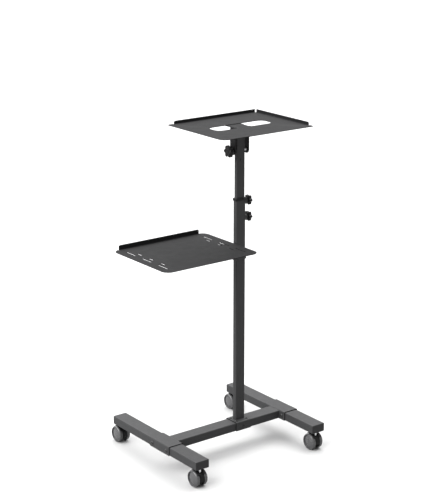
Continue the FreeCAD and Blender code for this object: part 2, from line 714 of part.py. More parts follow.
# --------------------------------------------------------------- tilt pivot
ear_out = d.ear_in + d.sheet
knob_face = ear_out + d.tilt_head_gap + d.tilt_neck
shank_end = knob_face + d.tilt_thick - 5
items = [
    cylinder("pivot_shank", ear_out + 0.3, 0, 0, d.pivot_r,
             ear_out + 0.3 + shank_end, "-X"),
    prism("pivot_head", ear_out + 0.3, 0, 0, 7.5, 5.5, "X"),
]
node(fuse("tilt_pivot_bolt", items), d.mast_x, d.base_y, d.pivot_high)

rings = []
for way in ("X", "-X"):
    s = 1 if way == "X" else -1
    outer = cylinder("spacer_body", s * d.mast_width / 2, 0, 0, d.spacer_r,
                     d.ear_in - d.ear_gap - d.mast_width / 2, way)
    bore = cylinder("spacer_bore", s * (d.mast_width / 2 - 1), 0, 0,
                    d.pivot_r + d.plug_gap, d.ear_in, way)
    rings.append(cut("spacer", outer, bore))
node(fuse("tilt_spacers", rings), d.mast_x, d.base_y, d.pivot_high)


# -------------------------------------------------------------------- knobs
def knob(label, core, lobe, thick, neck_r, neck, count, bore_r=None, bore_to=None,
         screw_r=None, screw_to=None):
    """Lobed hand knob, head from z = 0 up, neck and screw down from z = 0."""
    b = new_body(label)
    sk = new_sketch(b, "XY")
    circle(sk, 0, 0, core)
    pad(b, sk, thick)
    sk = new_sketch(b, "XY")
    circle(sk, core - 0.6, 0, lobe)
    p = pad(b, sk, thick)
    pat = b.newObject("PartDesign::PolarPattern", label + "_lobes")
    pat.Originals = [p]
    pat.Axis = (origin_of(b, "Z_Axis"), [""])
    pat.Angle = 360
    pat.Occurrences = count
    b.Tip = pat
    sk = new_sketch(b, "XY")
    circle(sk, 0, 0, neck_r)
    pad(b, sk, neck, reverse=True)
    if screw_r is not None:
        sk = new_sketch(b, "XY")
        circle(sk, 0, 0, screw_r)
        pad(b, sk, screw_to, reverse=True)
    if bore_r is not None:
        sk = new_sketch(b, "XY", -neck)
        circle(sk, 0, 0, bore_r)
        pocket(b, sk, neck + bore_to, reverse=True)
    t = thick.value
    chamfer(b, lambda e, t=t: min(v.Point.z for v in e.Vertexes) > t - 1e-4
            and e.Curve.TypeId == "Part::GeomCircle", 1.5)
    return b


k = knob("tilt_knob", d.tilt_core, d.tilt_lobe, d.tilt_thick, d.tilt_neck_r, d.tilt_neck,
         6, bore_r=d.pivot_r + d.pivot_play, bore_to=d.tilt_thick - 4)
node(k, d.mast_x - knob_face, d.base_y, d.pivot_high, AIM["-X"])

screw = d.knob_reach - d.mast_width / 2 - d.tip_gap
for label, hz in (("mast_knob_upper", d.knob_high), ("mast_knob_lower", d.knob_low)):
    k = knob(label, d.knob_core, d.knob_lobe, d.knob_thick, d.knob_neck_r, d.knob_neck,
             6, screw_r=d.thread_r, screw_to=screw)
    node(k, d.mast_x + d.knob_reach, d.base_y, hz, AIM["X"])

# --------------------------------------------------------------- upper tray
b = new_body("upper_tray_plate")
sk = new_sketch(b, "XY")
rounded(sk, d.tray_width, d.tray_depth,
        [d.upper_front_corner, d.upper_corner, d.upper_corner, d.upper_corner])
pad(b, sk, d.tray_thick)
sk = new_sketch(b, "XY")
rounded(sk, d.opening_width, d.opening_depth, d.opening_corner)
for sx in (-1, 1):
    for sy in (-1, 1):
        circle(sk, sx * d.web_screw_x - d.upper_offset, sy * d.web_screw_y,
               d.web_screw_r + d.bolt_play)
pocket(b, sk, 30, symmetric=True)
hw, hd = d.tray_width / 2, d.tray_depth / 2
# plate trimmed flush with the lips between the corner tabs
sk = new_sketch(b, "XY")
polygon(sk, [(-hw + d.lip_start, hd - d.lip_inset), (hw + 5, hd - d.lip_inset),
             (hw + 5, hd + 5), (-hw + d.lip_start, hd + 5)])
pocket(b, sk, 30, symmetric=True)
sk = new_sketch(b, "XY")
polygon(sk, [(hw - d.lip_inset, -hd + d.side_lip_start), (hw + 5, -hd + d.side_lip_start),
             (hw + 5, hd + 5), (hw - d.lip_inset, hd + 5)])
pocket(b, sk, 30, symmetric=True)
lip_t = d.tray_thick
sk = new_sketch(b, "XY")
polygon(sk, [(-hw + d.lip_start, hd - d.lip_inset - lip_t), (hw - d.lip_inset, hd - d.lip_inset - lip_t),
             (hw - d.lip_inset, hd - d.lip_inset), (-hw + d.lip_start, hd - d.lip_inset)])
pad(b, sk, d.tray_thick + d.lip_high)
sk = new_sketch(b, "XY")
polygon(sk, [(hw - d.lip_inset - lip_t, -hd + d.side_lip_start),
             (hw - d.lip_inset, -hd + d.side_lip_start),
             (hw - d.lip_inset, hd - d.lip_inset), (hw - d.lip_inset - lip_t, hd - d.lip_inset)])
pad(b, sk, d.tray_thick + d.lip_high)


def lip_end(e, x, y, z):
    """A short horizontal edge across the top of a lip end."""
    mid = (e.Vertexes[0].Point + e.Vertexes[-1].Point) * 0.5
    return len(e.Vertexes) == 2 and e.Length < 3.0 and abs(mid.x - x) < 1.6 \
        and abs(mid.y - y) < 1.6 and abs(mid.z - z) < 1e-3


lt = (d.tray_thick + d.lip_high).value
fillet(b, lambda e: lip_end(e, (-hw + d.lip_start).value,
                            (hd - d.lip_inset - lip_t / 2).value, lt)
       or lip_end(e, (hw - d.lip_inset - lip_t / 2).value,
                  (-hd + d.side_lip_start).value, lt), d.lip_round)
node(b, d.mast_x + d.upper_offset, d.base_y, d.upper_top - d.tray_thick)

web_top = d.upper_top - d.tray_thick
b = new_body("tilt_bracket")
sk = new_sketch(b, "XY", web_top - d.sheet - d.pivot_high)
rounded(sk, d.web_width, d.web_depth, 4.0)
pad(b, sk, d.sheet)
ear_top = web_top - d.sheet - d.pivot_high
for s in (-1, 1):
    sk = new_sketch(b, "YZ", s * (d.ear_in + d.sheet / 2))
    r = d.ear_width / 2
    a = sk.addGeometry(arc(0, 0, r.value, 180, 360), False)
    l1 = sk.addGeometry(Part.LineSegment(V(r.value, 0, 0), V(r.value, ear_top.value + 1, 0)), False)
    l2 = sk.addGeometry(Part.LineSegment(V(r.value, ear_top.value + 1, 0),
                                         V(-r.value, ear_top.value + 1, 0)), False)
    l3 = sk.addGeometry(Part.LineSegment(V(-r.value, ear_top.value + 1, 0), V(-r.value, 0, 0)), False)
    sk.addConstraint(Sketcher.Constraint("Tangent", a, 2, l1, 1))
    sk.addConstraint(Sketcher.Constraint("Coincident", l1, 2, l2, 1))
    sk.addConstraint(Sketcher.Constraint("Coincident", l2, 2, l3, 1))
    sk.addConstraint(Sketcher.Constraint("Tangent", l3, 2, a, 1))
    sk.addConstraint(Sketcher.Constraint("Vertical", l1))
    sk.addConstraint(Sketcher.Constraint("Horizontal", l2))
    sk.addConstraint(Sketcher.Constraint("Coincident", a, 3, -1, 1))
    i = sk.addConstraint(Sketcher.Constraint("Radius", a, r.value))
    bind(sk, "Constraints[%d]" % i, r)
    i = sk.addConstraint(Sketcher.Constraint("DistanceY", -1, 1, l2, 1, ear_top.value + 1))
    bind(sk, "Constraints[%d]" % i, ear_top + 1)
    circle(sk, 0, 0, d.pivot_r + d.pivot_play)
    pad(b, sk, d.sheet, symmetric=True)
sk = new_sketch(b, "XY", web_top - d.sheet - d.pivot_high)
for sx in (-1, 1):
    for sy in (-1, 1):
        circle(sk, sx * d.web_screw_x, sy * d.web_screw_y, d.web_screw_r + d.bolt_play)
pocket(b, sk, 20, symmetric=True)
node(b, d.mast_x, d.base_y, d.pivot_high)

items = []
for sx in (-1, 1):
    for sy in (-1, 1):
        x, y = sx * d.web_screw_x, sy * d.web_screw_y
        items.append(cylinder("web_head", x, y, -d.web_head_high, d.web_head_r,
                              d.web_head_high))
        items.append(cylinder("web_shank", x, y, -1, d.web_screw_r,
                              d.sheet + d.tray_thick + 0.7))
node(fuse("tilt_bracket_screws", items), d.mast_x, d.base_y, web_top - d.sheet)

# --------------------------------------------------------------- lower tray
b = new_body("lower_tray_plate")
sk = new_sketch(b, "XY")
rounded(sk, d.tray_width, d.tray_depth, d.lower_corner)
pad(b, sk, d.tray_thick)
for edge, pitch, long in ((d.slot_edge, d.slot_pitch, d.slot_long),
                          (d.slot_edge_in, d.slot_pitch_in, d.slot_short)):
    sk = new_sketch(b, "XY")
    slot(sk, hw - edge, -pitch, long, d.slot_wide)
    slot(sk, -hw + edge, -pitch, long, d.slot_wide)
    p = pocket(b, sk, 30, symmetric=True)
    pat = b.newObject("PartDesign::LinearPattern", "lower_tray_slots")
    pat.Originals = [p]
    pat.Direction = (origin_of(b, "Y_Axis"), [""])
    bind(pat, "Length", 2 * pitch)
    pat.Occurrences = 3
    b.Tip = pat
sk = new_sketch(b, "XY")
polygon(sk, [(-hw + d.lip_start, hd - lip_t), (hw - d.lip_start, hd - lip_t),
             (hw - d.lip_start, hd), (-hw + d.lip_start, hd)])
pad(b, sk, d.tray_thick + d.lower_lip_high)
llt = (d.tray_thick + d.lower_lip_high).value
fillet(b, lambda e: lip_end(e, (-hw + d.lip_start).value, (hd - lip_t / 2).value, llt)
       or lip_end(e, (hw - d.lip_start).value, (hd - lip_t / 2).value, llt), d.lip_round)
node(b, d.mast_x - d.lower_near - hw, d.base_y + d.lower_offset_y, d.lower_top - d.tray_thick)

b = new_body("lower_tray_arm")
sleeve_in = d.tube_width + 2 * d.sleeve_gap
sleeve_in_y = d.tube_depth + 2 * d.sleeve_gap
sk = new_sketch(b, "XY")
rounded(sk, sleeve_in + 2 * d.sleeve_wall, sleeve_in_y + 2 * d.sleeve_wall,
        d.tube_corner + d.sleeve_gap + d.sleeve_wall)
rounded(sk, sleeve_in, sleeve_in_y, d.tube_corner + d.sleeve_gap)
pad(b, sk, d.sleeve_high - d.sleeve_low)
arm_top = d.lower_top - d.tray_thick - d.arm_drop - d.sleeve_low
face = sleeve_in / 2 + d.sleeve_wall
# upright plate on the sleeve, box arm and gusset
sk = new_sketch(b, "YZ", -face)
polygon(sk, [(-d.arm_width / 2, 0), (d.arm_width / 2, 0), (d.arm_width / 2, arm_top),
             (-d.arm_width / 2, arm_top)])
pad(b, sk, d.sheet, reverse=True)
sk = new_sketch(b, "XZ")
polygon(sk, [(-face - d.sheet + 1, 3), (-face - d.sheet + 1, arm_top - d.arm_high + 1),
             (-face - d.sheet - d.gusset, arm_top - d.arm_high + 1),
             (-face - d.sheet - d.gusset, arm_top - d.arm_high - 5),
             (-face - d.sheet - 6, 3)])
pad(b, sk, d.sheet, symmetric=True)
sk = new_sketch(b, "YZ", -face)
for inset in (Q.of(0), d.arm_wall):
    g = [(-d.arm_width / 2 + inset, arm_top - d.arm_high + inset),
         (d.arm_width / 2 - inset, arm_top - d.arm_high + inset),
         (d.arm_width / 2 - inset, arm_top - inset),
         (-d.arm_width / 2 + inset, arm_top - inset)]
    polygon(sk, g)
pad(b, sk, d.arm_long - face, reverse=True)
# cleats between the arm and the tray plate
for reach in (d.cleat_near, d.cleat_far):
    sk = new_sketch(b, "XY", arm_top - 0.5)
    polygon(sk, [(-reach - d.cleat_wide / 2, -d.cleat_long / 2),
                 (-reach + d.cleat_wide / 2, -d.cleat_long / 2),
                 (-reach + d.cleat_wide / 2, d.cleat_long / 2),
                 (-reach - d.cleat_wide / 2, d.cleat_long / 2)])
    pad(b, sk, d.arm_drop + 0.5)
sk = new_sketch(b, "XZ")
circle(sk, 0, (d.sleeve_high - d.sleeve_low) / 2, d.boss_r)
pad(b, sk, sleeve_in_y / 2 + d.sleeve_wall + d.boss_long, reverse=True)
sk = new_sketch(b, "XZ")
circle(sk, 0, (d.sleeve_high - d.sleeve_low) / 2, d.thread_r + d.thread_play)
pocket(b, sk, 80)
sk = new_sketch(b, "XY", -1)
rounded(sk, sleeve_in, sleeve_in_y, d.tube_corner + d.sleeve_gap)
pocket(b, sk, d.sleeve_high - d.sleeve_low + 2, reverse=True)
node(b, d.mast_x, d.base_y, d.sleeve_low)

tray_reach = sleeve_in_y / 2 + d.sleeve_wall + d.boss_long + 3
k = knob("tray_clamp_knob", d.knob_core, d.knob_lobe, d.knob_thick, d.knob_neck_r,
         d.knob_neck, 6, screw_r=d.thread_r,
         screw_to=tray_reach - d.tube_depth / 2 - d.tip_gap)
node(k, d.mast_x, d.base_y + tray_reach, (d.sleeve_high + d.sleeve_low) / 2, AIM["Y"])

# ------------------------------------------------------------------ casters
SPOTS = []
for side, sign in SIDES:
    for end, way in (("front", -1), ("rear", 1)):
        SPOTS.append((end + "_" + side, sign, way))


def spot(sign, way):
    return (d.base_x + sign * d.leg_spread / 2, d.base_y + d.leg_mid + way * stem_reach)


items = []
for name, sign, way in SPOTS:
    x, y = sign * d.leg_spread / 2, way * stem_reach
    items.append(cylinder("stem_pin", x, y, d.stem_low, d.stem_r,
                          d.leg_bottom + 14 - d.stem_low))
    items.append(cylinder("stem_collar", x, y, d.leg_bottom - d.stem_flange,
                          d.stem_flange_r, d.stem_flange))
    items.append(prism("stem_nut", x, y, d.leg_bottom + d.leg_wall, 8, 6))
node(fuse("caster_stems", items), d.base_x, d.base_y + d.leg_mid, 0)

for name, sign, way in SPOTS:
    px, py = spot(sign, way)
    # all four are swivelled alike: axle behind the stem, at +Y
    ay, az = d.caster_trail, d.wheel_r
    core, side = d.core_half, d.hood_side
    # hood between the wheels, open from below, with its hub and stem socket
    disc = cylinder("hood_disc", -core, ay, az, d.core_r, 2 * core, "X")
    below = block("hood_below", -side, ay - 60, az - d.core_cut - 60, 2 * side, 120, 60)
    room = cylinder("hood_room", -(core - d.core_wall), ay, az, d.core_r - d.core_wall,
                    2 * (core - d.core_wall), "X")
    hub = block("hood_hub", -side, ay - 11, az - 40, 2 * side, 22, 54)
    wall = cylinder("hood_socket_wall", 0, 0, az, d.socket_r, 40)
    room = cut("hood_hollow", room, fuse("hood_kept", [hub, wall]))
    middle = cut("hood_middle", disc, fuse("hood_away", [below, room]))
    # a fender over the inner part of each tread, on a low wall
    arch = cylinder("hood_arch", -side, ay, az, d.hood_r, 2 * side, "X")
    right = cylinder("hood_right", core, ay, az, d.hood_r - d.hood_wall, side, "X")
    left = cylinder("hood_left", -core, ay, az, d.hood_r - d.hood_wall, side, "-X")
    gap = cylinder("hood_gap", -d.flange_in, ay, az, d.hood_r + 5, 2 * d.flange_in, "X")
    arch = cut("hood_fenders", arch, fuse("hood_fender_tools", [right, left, gap]))
    b = new_body("hood_sector")
    sk = new_sketch(b, "YZ")
    polygon(sk, [(0, 0), aimed(d.hood_front, 60), aimed(75, 60), aimed(d.hood_rear, 60)])
    pad(b, sk, 4 * side, symmetric=True)
    place(b, 0, ay, az)
    arch = common("hood_arch_cut", [arch, b])
    whole = fuse("hood_whole", [middle, arch])
    bore = cylinder("hood_bore", -2 * side, ay, az, d.axle_r + d.axle_play, 4 * side, "X")
    socket = cylinder("hood_socket", 0, 0, d.stem_low - 0.6, d.stem_r + d.thread_play, 30)
    hood = cut("caster_hood_" + name, whole, fuse("hood_holes", [bore, socket]))
    node(hood, px, py, 0)

    pin = 2 * (d.wheel_in + d.wheel_wide - d.wheel_skin - 0.5)
    axle = cylinder("caster_axle_" + name, 0, 0, 0, d.axle_r, pin, "X")
    axle.Label = "caster_axle_" + name
    node(axle, px - pin / 2, py + d.caster_trail, d.wheel_r, AIM["X"])

    for wside, ws in SIDES:
        b = new_body("caster_wheel_%s_%s" % (name, wside))
        sk = new_sketch(b, "XZ")
        t, r, bo = d.wheel_wide, d.wheel_r, d.axle_r + d.axle_play
        polygon(sk, [(0, bo), (t - d.wheel_skin, bo), (t - d.wheel_skin, 0), (t - 0.6, 0),
                     (t - 0.7, r - 20), (t - 1.4, r - 12), (t - 2.8, r - 6.5),
                     (t - 3.2, r - 5.7), (t - 0.8, r - 5), (t, r - 4), (t - 0.6, r - 2.4),
                     (t - 3, r - 0.6), (t - 4.2, r), (1.8, r), (0.5, r - 0.6), (0, r - 2),
                     (0, r - 4), (5, r - 5), (5, 10.5), (0, 9.5)])
        f = b.newObject("PartDesign::Revolution", b.Name + "_turn")
        f.Profile = sk
        f.ReferenceAxis = (origin_of(b, "X_Axis"), [""])
        f.Angle = 360
        sk.Visibility = False
        node(b, px + ws * d.wheel_in, py + d.caster_trail, d.wheel_r,
             ROT() if ws > 0 else ROT(V(0, 0, 1), 180))

# ------------------------------------------------------------ check and write
doc.recompute()
bad = []
for o in doc.Objects:
    if "Invalid" in o.State or "Error" in o.State:
        bad.append(o.Label)
if bad:
    raise RuntimeError("features not computed: " + ", ".join(bad))
for o in NODES:
    shp = o.Shape
    if shp.isNull() or not shp.isValid() or not shp.Solids:
        raise RuntimeError("no valid solid: " + o.Label)
    shp.exportStep("parts/%s.step" % o.Label)
    print(o.Label, len(shp.Solids), round(shp.Volume))
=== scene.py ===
import math
import random

import bmesh
import bpy
from mathutils import Matrix, Vector


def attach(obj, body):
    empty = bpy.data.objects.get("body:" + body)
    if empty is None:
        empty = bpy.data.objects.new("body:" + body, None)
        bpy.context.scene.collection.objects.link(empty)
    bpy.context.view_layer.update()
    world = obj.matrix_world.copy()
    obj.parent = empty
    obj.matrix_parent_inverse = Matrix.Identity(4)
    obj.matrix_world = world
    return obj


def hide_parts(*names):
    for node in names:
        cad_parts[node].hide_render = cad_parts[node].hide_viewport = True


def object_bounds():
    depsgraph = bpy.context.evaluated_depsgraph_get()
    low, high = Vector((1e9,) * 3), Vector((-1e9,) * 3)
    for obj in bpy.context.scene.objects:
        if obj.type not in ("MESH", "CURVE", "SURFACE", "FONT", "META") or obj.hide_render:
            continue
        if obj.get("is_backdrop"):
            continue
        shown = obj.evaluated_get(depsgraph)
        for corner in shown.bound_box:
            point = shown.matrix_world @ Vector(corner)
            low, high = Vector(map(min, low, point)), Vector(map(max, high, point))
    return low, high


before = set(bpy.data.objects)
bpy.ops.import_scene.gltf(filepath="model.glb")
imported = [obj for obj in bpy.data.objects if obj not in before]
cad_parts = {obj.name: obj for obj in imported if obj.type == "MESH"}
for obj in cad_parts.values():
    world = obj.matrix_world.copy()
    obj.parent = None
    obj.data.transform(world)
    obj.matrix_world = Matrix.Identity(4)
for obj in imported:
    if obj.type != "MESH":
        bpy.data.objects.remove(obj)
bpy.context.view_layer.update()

random.seed(7)
MM = 0.001

# The base centre, the mast axis and the main heights, in mm, as in the frame.
BX, BY = 39.25, -53.0
MX = BX + 61.5
LEG_MID, LEG_Z0, LEG_H, LEG_W = 0.0, 71.0, 31.0, 55.0
SHEET = 3.0


# ------------------------------------------------------------------ materials
def new_material(name, base, roughness=0.5, metallic=0.0, specular=0.5, coat=0.0,
                 coat_roughness=0.2, sheen=0.0):
    m = bpy.data.materials.new(name)
    m.use_nodes = True
    nt = m.node_tree
    b = nt.nodes["Principled BSDF"]
    b.inputs["Base Color"].default_value = (*base, 1)
    b.inputs["Roughness"].default_value = roughness
    b.inputs["Metallic"].default_value = metallic
    b.inputs["Specular IOR Level"].default_value = specular
    b.inputs["Coat Weight"].default_value = coat
    b.inputs["Coat Roughness"].default_value = coat_roughness
    m.diffuse_color = (*base, 1)
    return m, nt, b


def mapping(nt, scale=(1, 1, 1)):
    co = nt.nodes.new("ShaderNodeTexCoord")
    mp = nt.nodes.new("ShaderNodeMapping")
    mp.inputs["Scale"].default_value = scale
    nt.links.new(co.outputs["Object"], mp.inputs["Vector"])
    return mp.outputs["Vector"]


def noise(nt, vec, scale, detail=3.0, rough=0.5, distortion=0.0):
    n = nt.nodes.new("ShaderNodeTexNoise")
    n.inputs["Scale"].default_value = scale
    n.inputs["Detail"].default_value = detail
    n.inputs["Roughness"].default_value = rough
    n.inputs["Distortion"].default_value = distortion
    nt.links.new(vec, n.inputs["Vector"])
    return n.outputs["Fac"]


def ramp(nt, fac, stops):
    r = nt.nodes.new("ShaderNodeValToRGB")
    els = r.color_ramp.elements
    while len(els) < len(stops):
        els.new(0.5)
    for e, (p, c) in zip(els, stops):
        e.position = p
        e.color = (*c, 1) if len(c) == 3 else c
    nt.links.new(fac, r.inputs["Fac"])
    return r.outputs["Color"]


def grey_ramp(nt, fac, p0, v0, p1, v1):
    return ramp(nt, fac, [(p0, (v0,) * 3), (p1, (v1,) * 3)])


def mix(nt, fac, a, b, kind="MIX"):
    m = nt.nodes.new("ShaderNodeMix")
    m.data_type = "RGBA"
    m.blend_type = kind
    if isinstance(fac, (int, float)):
        m.inputs[0].default_value = fac
    else:
        nt.links.new(fac, m.inputs[0])
    for sock, v in ((m.inputs[6], a), (m.inputs[7], b)):
        if isinstance(v, tuple):
            sock.default_value = (*v, 1) if len(v) == 3 else v
        else:
            nt.links.new(v, sock)
    return m.outputs[2]


def math_node(nt, op, a, b=None, clamp=False):
    m = nt.nodes.new("ShaderNodeMath")
    m.operation = op
    m.use_clamp = clamp
    for k, v in enumerate((a, b)):
        if v is None:
            continue
        if isinstance(v, (int, float)):
            m.inputs[k].default_value = v
        else:
            nt.links.new(v, m.inputs[k])
    return m.outputs[0]


def bump(nt, height, strength, distance, normal=None):
    b = nt.nodes.new("ShaderNodeBump")
    b.inputs["Strength"].default_value = strength
    b.inputs["Distance"].default_value = distance
    nt.links.new(height, b.inputs["Height"])
    if normal is not None:
        nt.links.new(normal, b.inputs["Normal"])
    return b.outputs["Normal"]


def edges(nt, lo=0.52, hi=0.6):
    """Bright on convex edges, from the mesh's own shape."""
    g = nt.nodes.new("ShaderNodeNewGeometry")
    return ramp(nt, g.outputs["Pointiness"], [(lo, (0, 0, 0)), (hi, (1, 1, 1))])


def coat(name, c0, c1, worn, rough, specular):
    """Fine textured powder coat: orange peel, faint clouding, rubbed edges."""
    m, nt, b = new_material(name, c0, (rough[0] + rough[1]) / 2, specular=specular)
    vec = mapping(nt)
    fine = noise(nt, vec, 1500.0, 2.0, 0.6)
    peel = noise(nt, vec, 420.0, 2.0, 0.5)
    cloud = noise(nt, vec, 9.0, 4.0, 0.55)
    smudge = noise(nt, vec, 28.0, 5.0, 0.65, 0.4)
    base = mix(nt, cloud, c0, c1)
    spk = grey_ramp(nt, fine, 0.35, 0.85, 0.75, 1.25)
    base = mix(nt, 1.0, base, spk, "MULTIPLY")
    wear = math_node(nt, "MULTIPLY", edges(nt, 0.53, 0.62), 0.35)
    base = mix(nt, wear, base, worn)
    nt.links.new(base, b.inputs["Base Color"])
    r = grey_ramp(nt, smudge, 0.3, rough[0], 0.75, rough[1])
    nt.links.new(r, b.inputs["Roughness"])
    n = bump(nt, fine, 0.18, 0.00012)
    n = bump(nt, peel, 0.22, 0.00025, n)
    nt.links.new(n, b.inputs["Normal"])
    return m


def moulded(name, c0, c1, r0, r1, grain=900.0, spec=0.45, rub=(0.09, 0.09, 0.092)):
    m, nt, b = new_material(name, c0, (r0 + r1) / 2, specular=spec)
    vec = mapping(nt)
    g = noise(nt, vec, grain, 2.0, 0.55)
    cloud = noise(nt, vec, 16.0, 4.0, 0.6)
    base = mix(nt, cloud, c0, c1)
    wear = math_node(nt, "MULTIPLY", edges(nt, 0.54, 0.66), 0.3)
    base = mix(nt, wear, base, rub)
    nt.links.new(base, b.inputs["Base Color"])
    nt.links.new(grey_ramp(nt, cloud, 0.3, r0, 0.7, r1), b.inputs["Roughness"])
    nt.links.new(bump(nt, g, 0.2, 0.00015), b.inputs["Normal"])
    return m


def screws(name, c0, c1):
    m, nt, b = new_material(name, c0, 0.36, specular=0.25)
    vec = mapping(nt)
    g = noise(nt, vec, 600.0, 3.0, 0.6)
    cloud = noise(nt, vec, 60.0, 3.0, 0.6)
    base = mix(nt, cloud, c0, c1)
    wear = math_node(nt, "MULTIPLY", edges(nt, 0.53, 0.62), 0.35)
    base = mix(nt, wear, base, (0.02, 0.0195, 0.019))
    nt.links.new(base, b.inputs["Base Color"])
    nt.links.new(grey_ramp(nt, g, 0.3, 0.28, 0.75, 0.44), b.inputs["Roughness"])
    nt.links.new(bump(nt, g, 0.12, 0.0001), b.inputs["Normal"])
    return m


def zinc():
    m, nt, b = new_material("zinc_steel", (0.56, 0.56, 0.57), 0.28, metallic=1.0)
    vec = mapping(nt)
    g = noise(nt, vec, 180.0, 2.0, 0.5)
    base = mix(nt, g, (0.6, 0.6, 0.61), (0.66, 0.66, 0.67))
    nt.links.new(base, b.inputs["Base Color"])
    nt.links.new(grey_ramp(nt, g, 0.3, 0.3, 0.7, 0.38), b.inputs["Roughness"])
    return m


MAT = {
    "powder_coat": coat("powder_coat", (0.0155, 0.0156, 0.0161), (0.0195, 0.0196, 0.0201),
                        (0.032, 0.032, 0.033), (0.52, 0.64), 0.16),
    "black_coat": coat("black_coat", (0.005, 0.005, 0.0053), (0.0075, 0.0075, 0.0078),
                       (0.015, 0.015, 0.0155), (0.6, 0.67), 0.08),
    "black_plastic": moulded("black_plastic", (0.0022, 0.0022, 0.0023), (0.0035, 0.0035, 0.0036),
                             0.3, 0.4, spec=0.12, rub=(0.008, 0.008, 0.0083)),
    "cap_plastic": moulded("cap_plastic", (0.0085, 0.0085, 0.009), (0.012, 0.012, 0.0125),
                           0.4, 0.52, spec=0.16, rub=(0.025, 0.025, 0.026)),
    "black_screws": screws("black_screws", (0.0035, 0.0035, 0.0036), (0.0065, 0.0064, 0.0065)),
    "leg_screws": screws("leg_screws", (0.012, 0.012, 0.0124), (0.0165, 0.0164, 0.0168)),
    # painted shade: a near-black finish for a bent sheet's cut edges, standing in for the shadow in the
    # seam beside the tube
    "seam_painted_shade": coat("seam_painted_shade", (0.002, 0.002, 0.0021), (0.003, 0.003, 0.0031),
                     (0.005, 0.005, 0.0052), (0.7, 0.8), 0.02),
    "caster_black": moulded("caster_black", (0.004, 0.004, 0.0042), (0.006, 0.006, 0.0062),
                            0.42, 0.55, spec=0.1, rub=(0.012, 0.012, 0.0125)),
    "caster_grey": moulded("caster_grey", (0.034, 0.034, 0.0352), (0.043, 0.043, 0.0442),
                           0.22, 0.3, 700.0, 0.4, (0.08, 0.08, 0.082)),
    "zinc_steel": zinc(),
}


# ---------------------------------------------------------------- mesh making
def bake(ob):
    """The mesh with its modifiers applied takes the place of the mesh."""
    old = ob.data
    dg = bpy.context.evaluated_depsgraph_get()
    done = bpy.data.meshes.new_from_object(ob.evaluated_get(dg))
    ob.modifiers.clear()
    ob.data = done
    bpy.data.meshes.remove(old)
    done.name = ob.name


def to_object(name, bm, slot, body, replaces=(), bevel=0.0, segments=2, angle=30.0,
              smooth=35.0, solidify=None, minus=None, finish=None, ends=None):
    """A mesh in mm becomes a piece in metres that rides on its body. ends: the axis that
    the cut edges of a bent sheet face; those faces get a near-black painted shade for the shadow in the
    seam."""
    bmesh.ops.remove_doubles(bm, verts=bm.verts, dist=1e-4)
    bmesh.ops.recalc_face_normals(bm, faces=bm.faces)
    me = bpy.data.meshes.new(name)
    bm.to_mesh(me)
    bm.free()
    me.transform(Matrix.Scale(MM, 4))
    ob = bpy.data.objects.new(name, me)
    bpy.context.scene.collection.objects.link(ob)
    if solidify:
        s = ob.modifiers.new("s", "SOLIDIFY")
        s.thickness = solidify * MM
        s.offset = 0.0
        s.use_even_offset = True
        s.use_quality_normals = True
    if bevel:
        b = ob.modifiers.new("b", "BEVEL")
        b.width = bevel * MM
        b.segments = segments
        b.limit_method = "ANGLE"
        b.angle_limit = math.radians(angle)
        b.use_clamp_overlap = True
        b.miter_outer = "MITER_ARC"
    cutter = None
    if minus is not None:
        cm = bpy.data.meshes.new(name + "_cut")
        bmesh.ops.recalc_face_normals(minus, faces=minus.faces)
        minus.to_mesh(cm)
        minus.free()
        cm.transform(Matrix.Scale(MM, 4))
        cutter = bpy.data.objects.new(name + "_cut", cm)
        bpy.context.scene.collection.objects.link(cutter)
        c = ob.modifiers.new("c", "BOOLEAN")
        c.operation = "DIFFERENCE"
        c.solver = "EXACT"
        c.object = cutter
        ob.modifiers.move(len(ob.modifiers) - 1, 0)
    if solidify or bevel or cutter:
        bake(ob)
    if cutter:
        cm = cutter.data
        bpy.data.objects.remove(cutter)
        bpy.data.meshes.remove(cm)
    me = ob.data
    me.materials.clear()
    me.materials.append(MAT[finish or slot])
    for p in me.polygons:
        p.use_smooth = True
        p.material_index = 0
    # painted shade: the cut-edge faces get the near-black seam finish in place of the seam's shadow
    if ends is not None:
        me.materials.append(MAT["seam_painted_shade"])
        for p in me.polygons:
            if abs(p.normal[ends]) > 0.9:
                p.material_index = 1
    me.set_sharp_from_angle(angle=math.radians(smooth))
    # broad faces keep their own normals beside the rounded edges
    w = ob.modifiers.new("w", "WEIGHTED_NORMAL")
    w.mode = "FACE_AREA"
    w.weight = 60
    w.keep_sharp = True
    bake(ob)
    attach(ob, body)
    if replaces:
        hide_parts(*replaces)
    return ob


def put(axis, u, v, w):
    """Profile coordinates to model axes: X runs (Y, Z), Y runs (X, Z), Z runs (X, Y)."""
    if axis == "X":
        return Vector((w, u, v))
    if axis == "Y":
        return Vector((u, w, v))
    return Vector((u, v, w))


def prism(bm, loops, axis, lo, hi, at=(0, 0, 0)):
    """Extrudes a face with holes. loops: outline first, then the holes."""
    at = Vector(at)
    es, first = [], []
    for pts in loops:
        vs = [bm.verts.new(put(axis, u, v, lo) + at) for u, v in pts]
        first.append(vs)
        es += [bm.edges.new((vs[i], vs[(i + 1) % len(vs)])) for i in range(len(vs))]
    got = bmesh.ops.triangle_fill(bm, use_beauty=True, use_dissolve=False, edges=es)
    faces = [g for g in got["geom"] if isinstance(g, bmesh.types.BMFace)]
    ex = bmesh.ops.extrude_face_region(bm, geom=faces, use_keep_orig=True)
    vs = [g for g in ex["geom"] if isinstance(g, bmesh.types.BMVert)]
    bmesh.ops.translate(bm, verts=vs, vec=put(axis, 0, 0, hi - lo))
    return bm


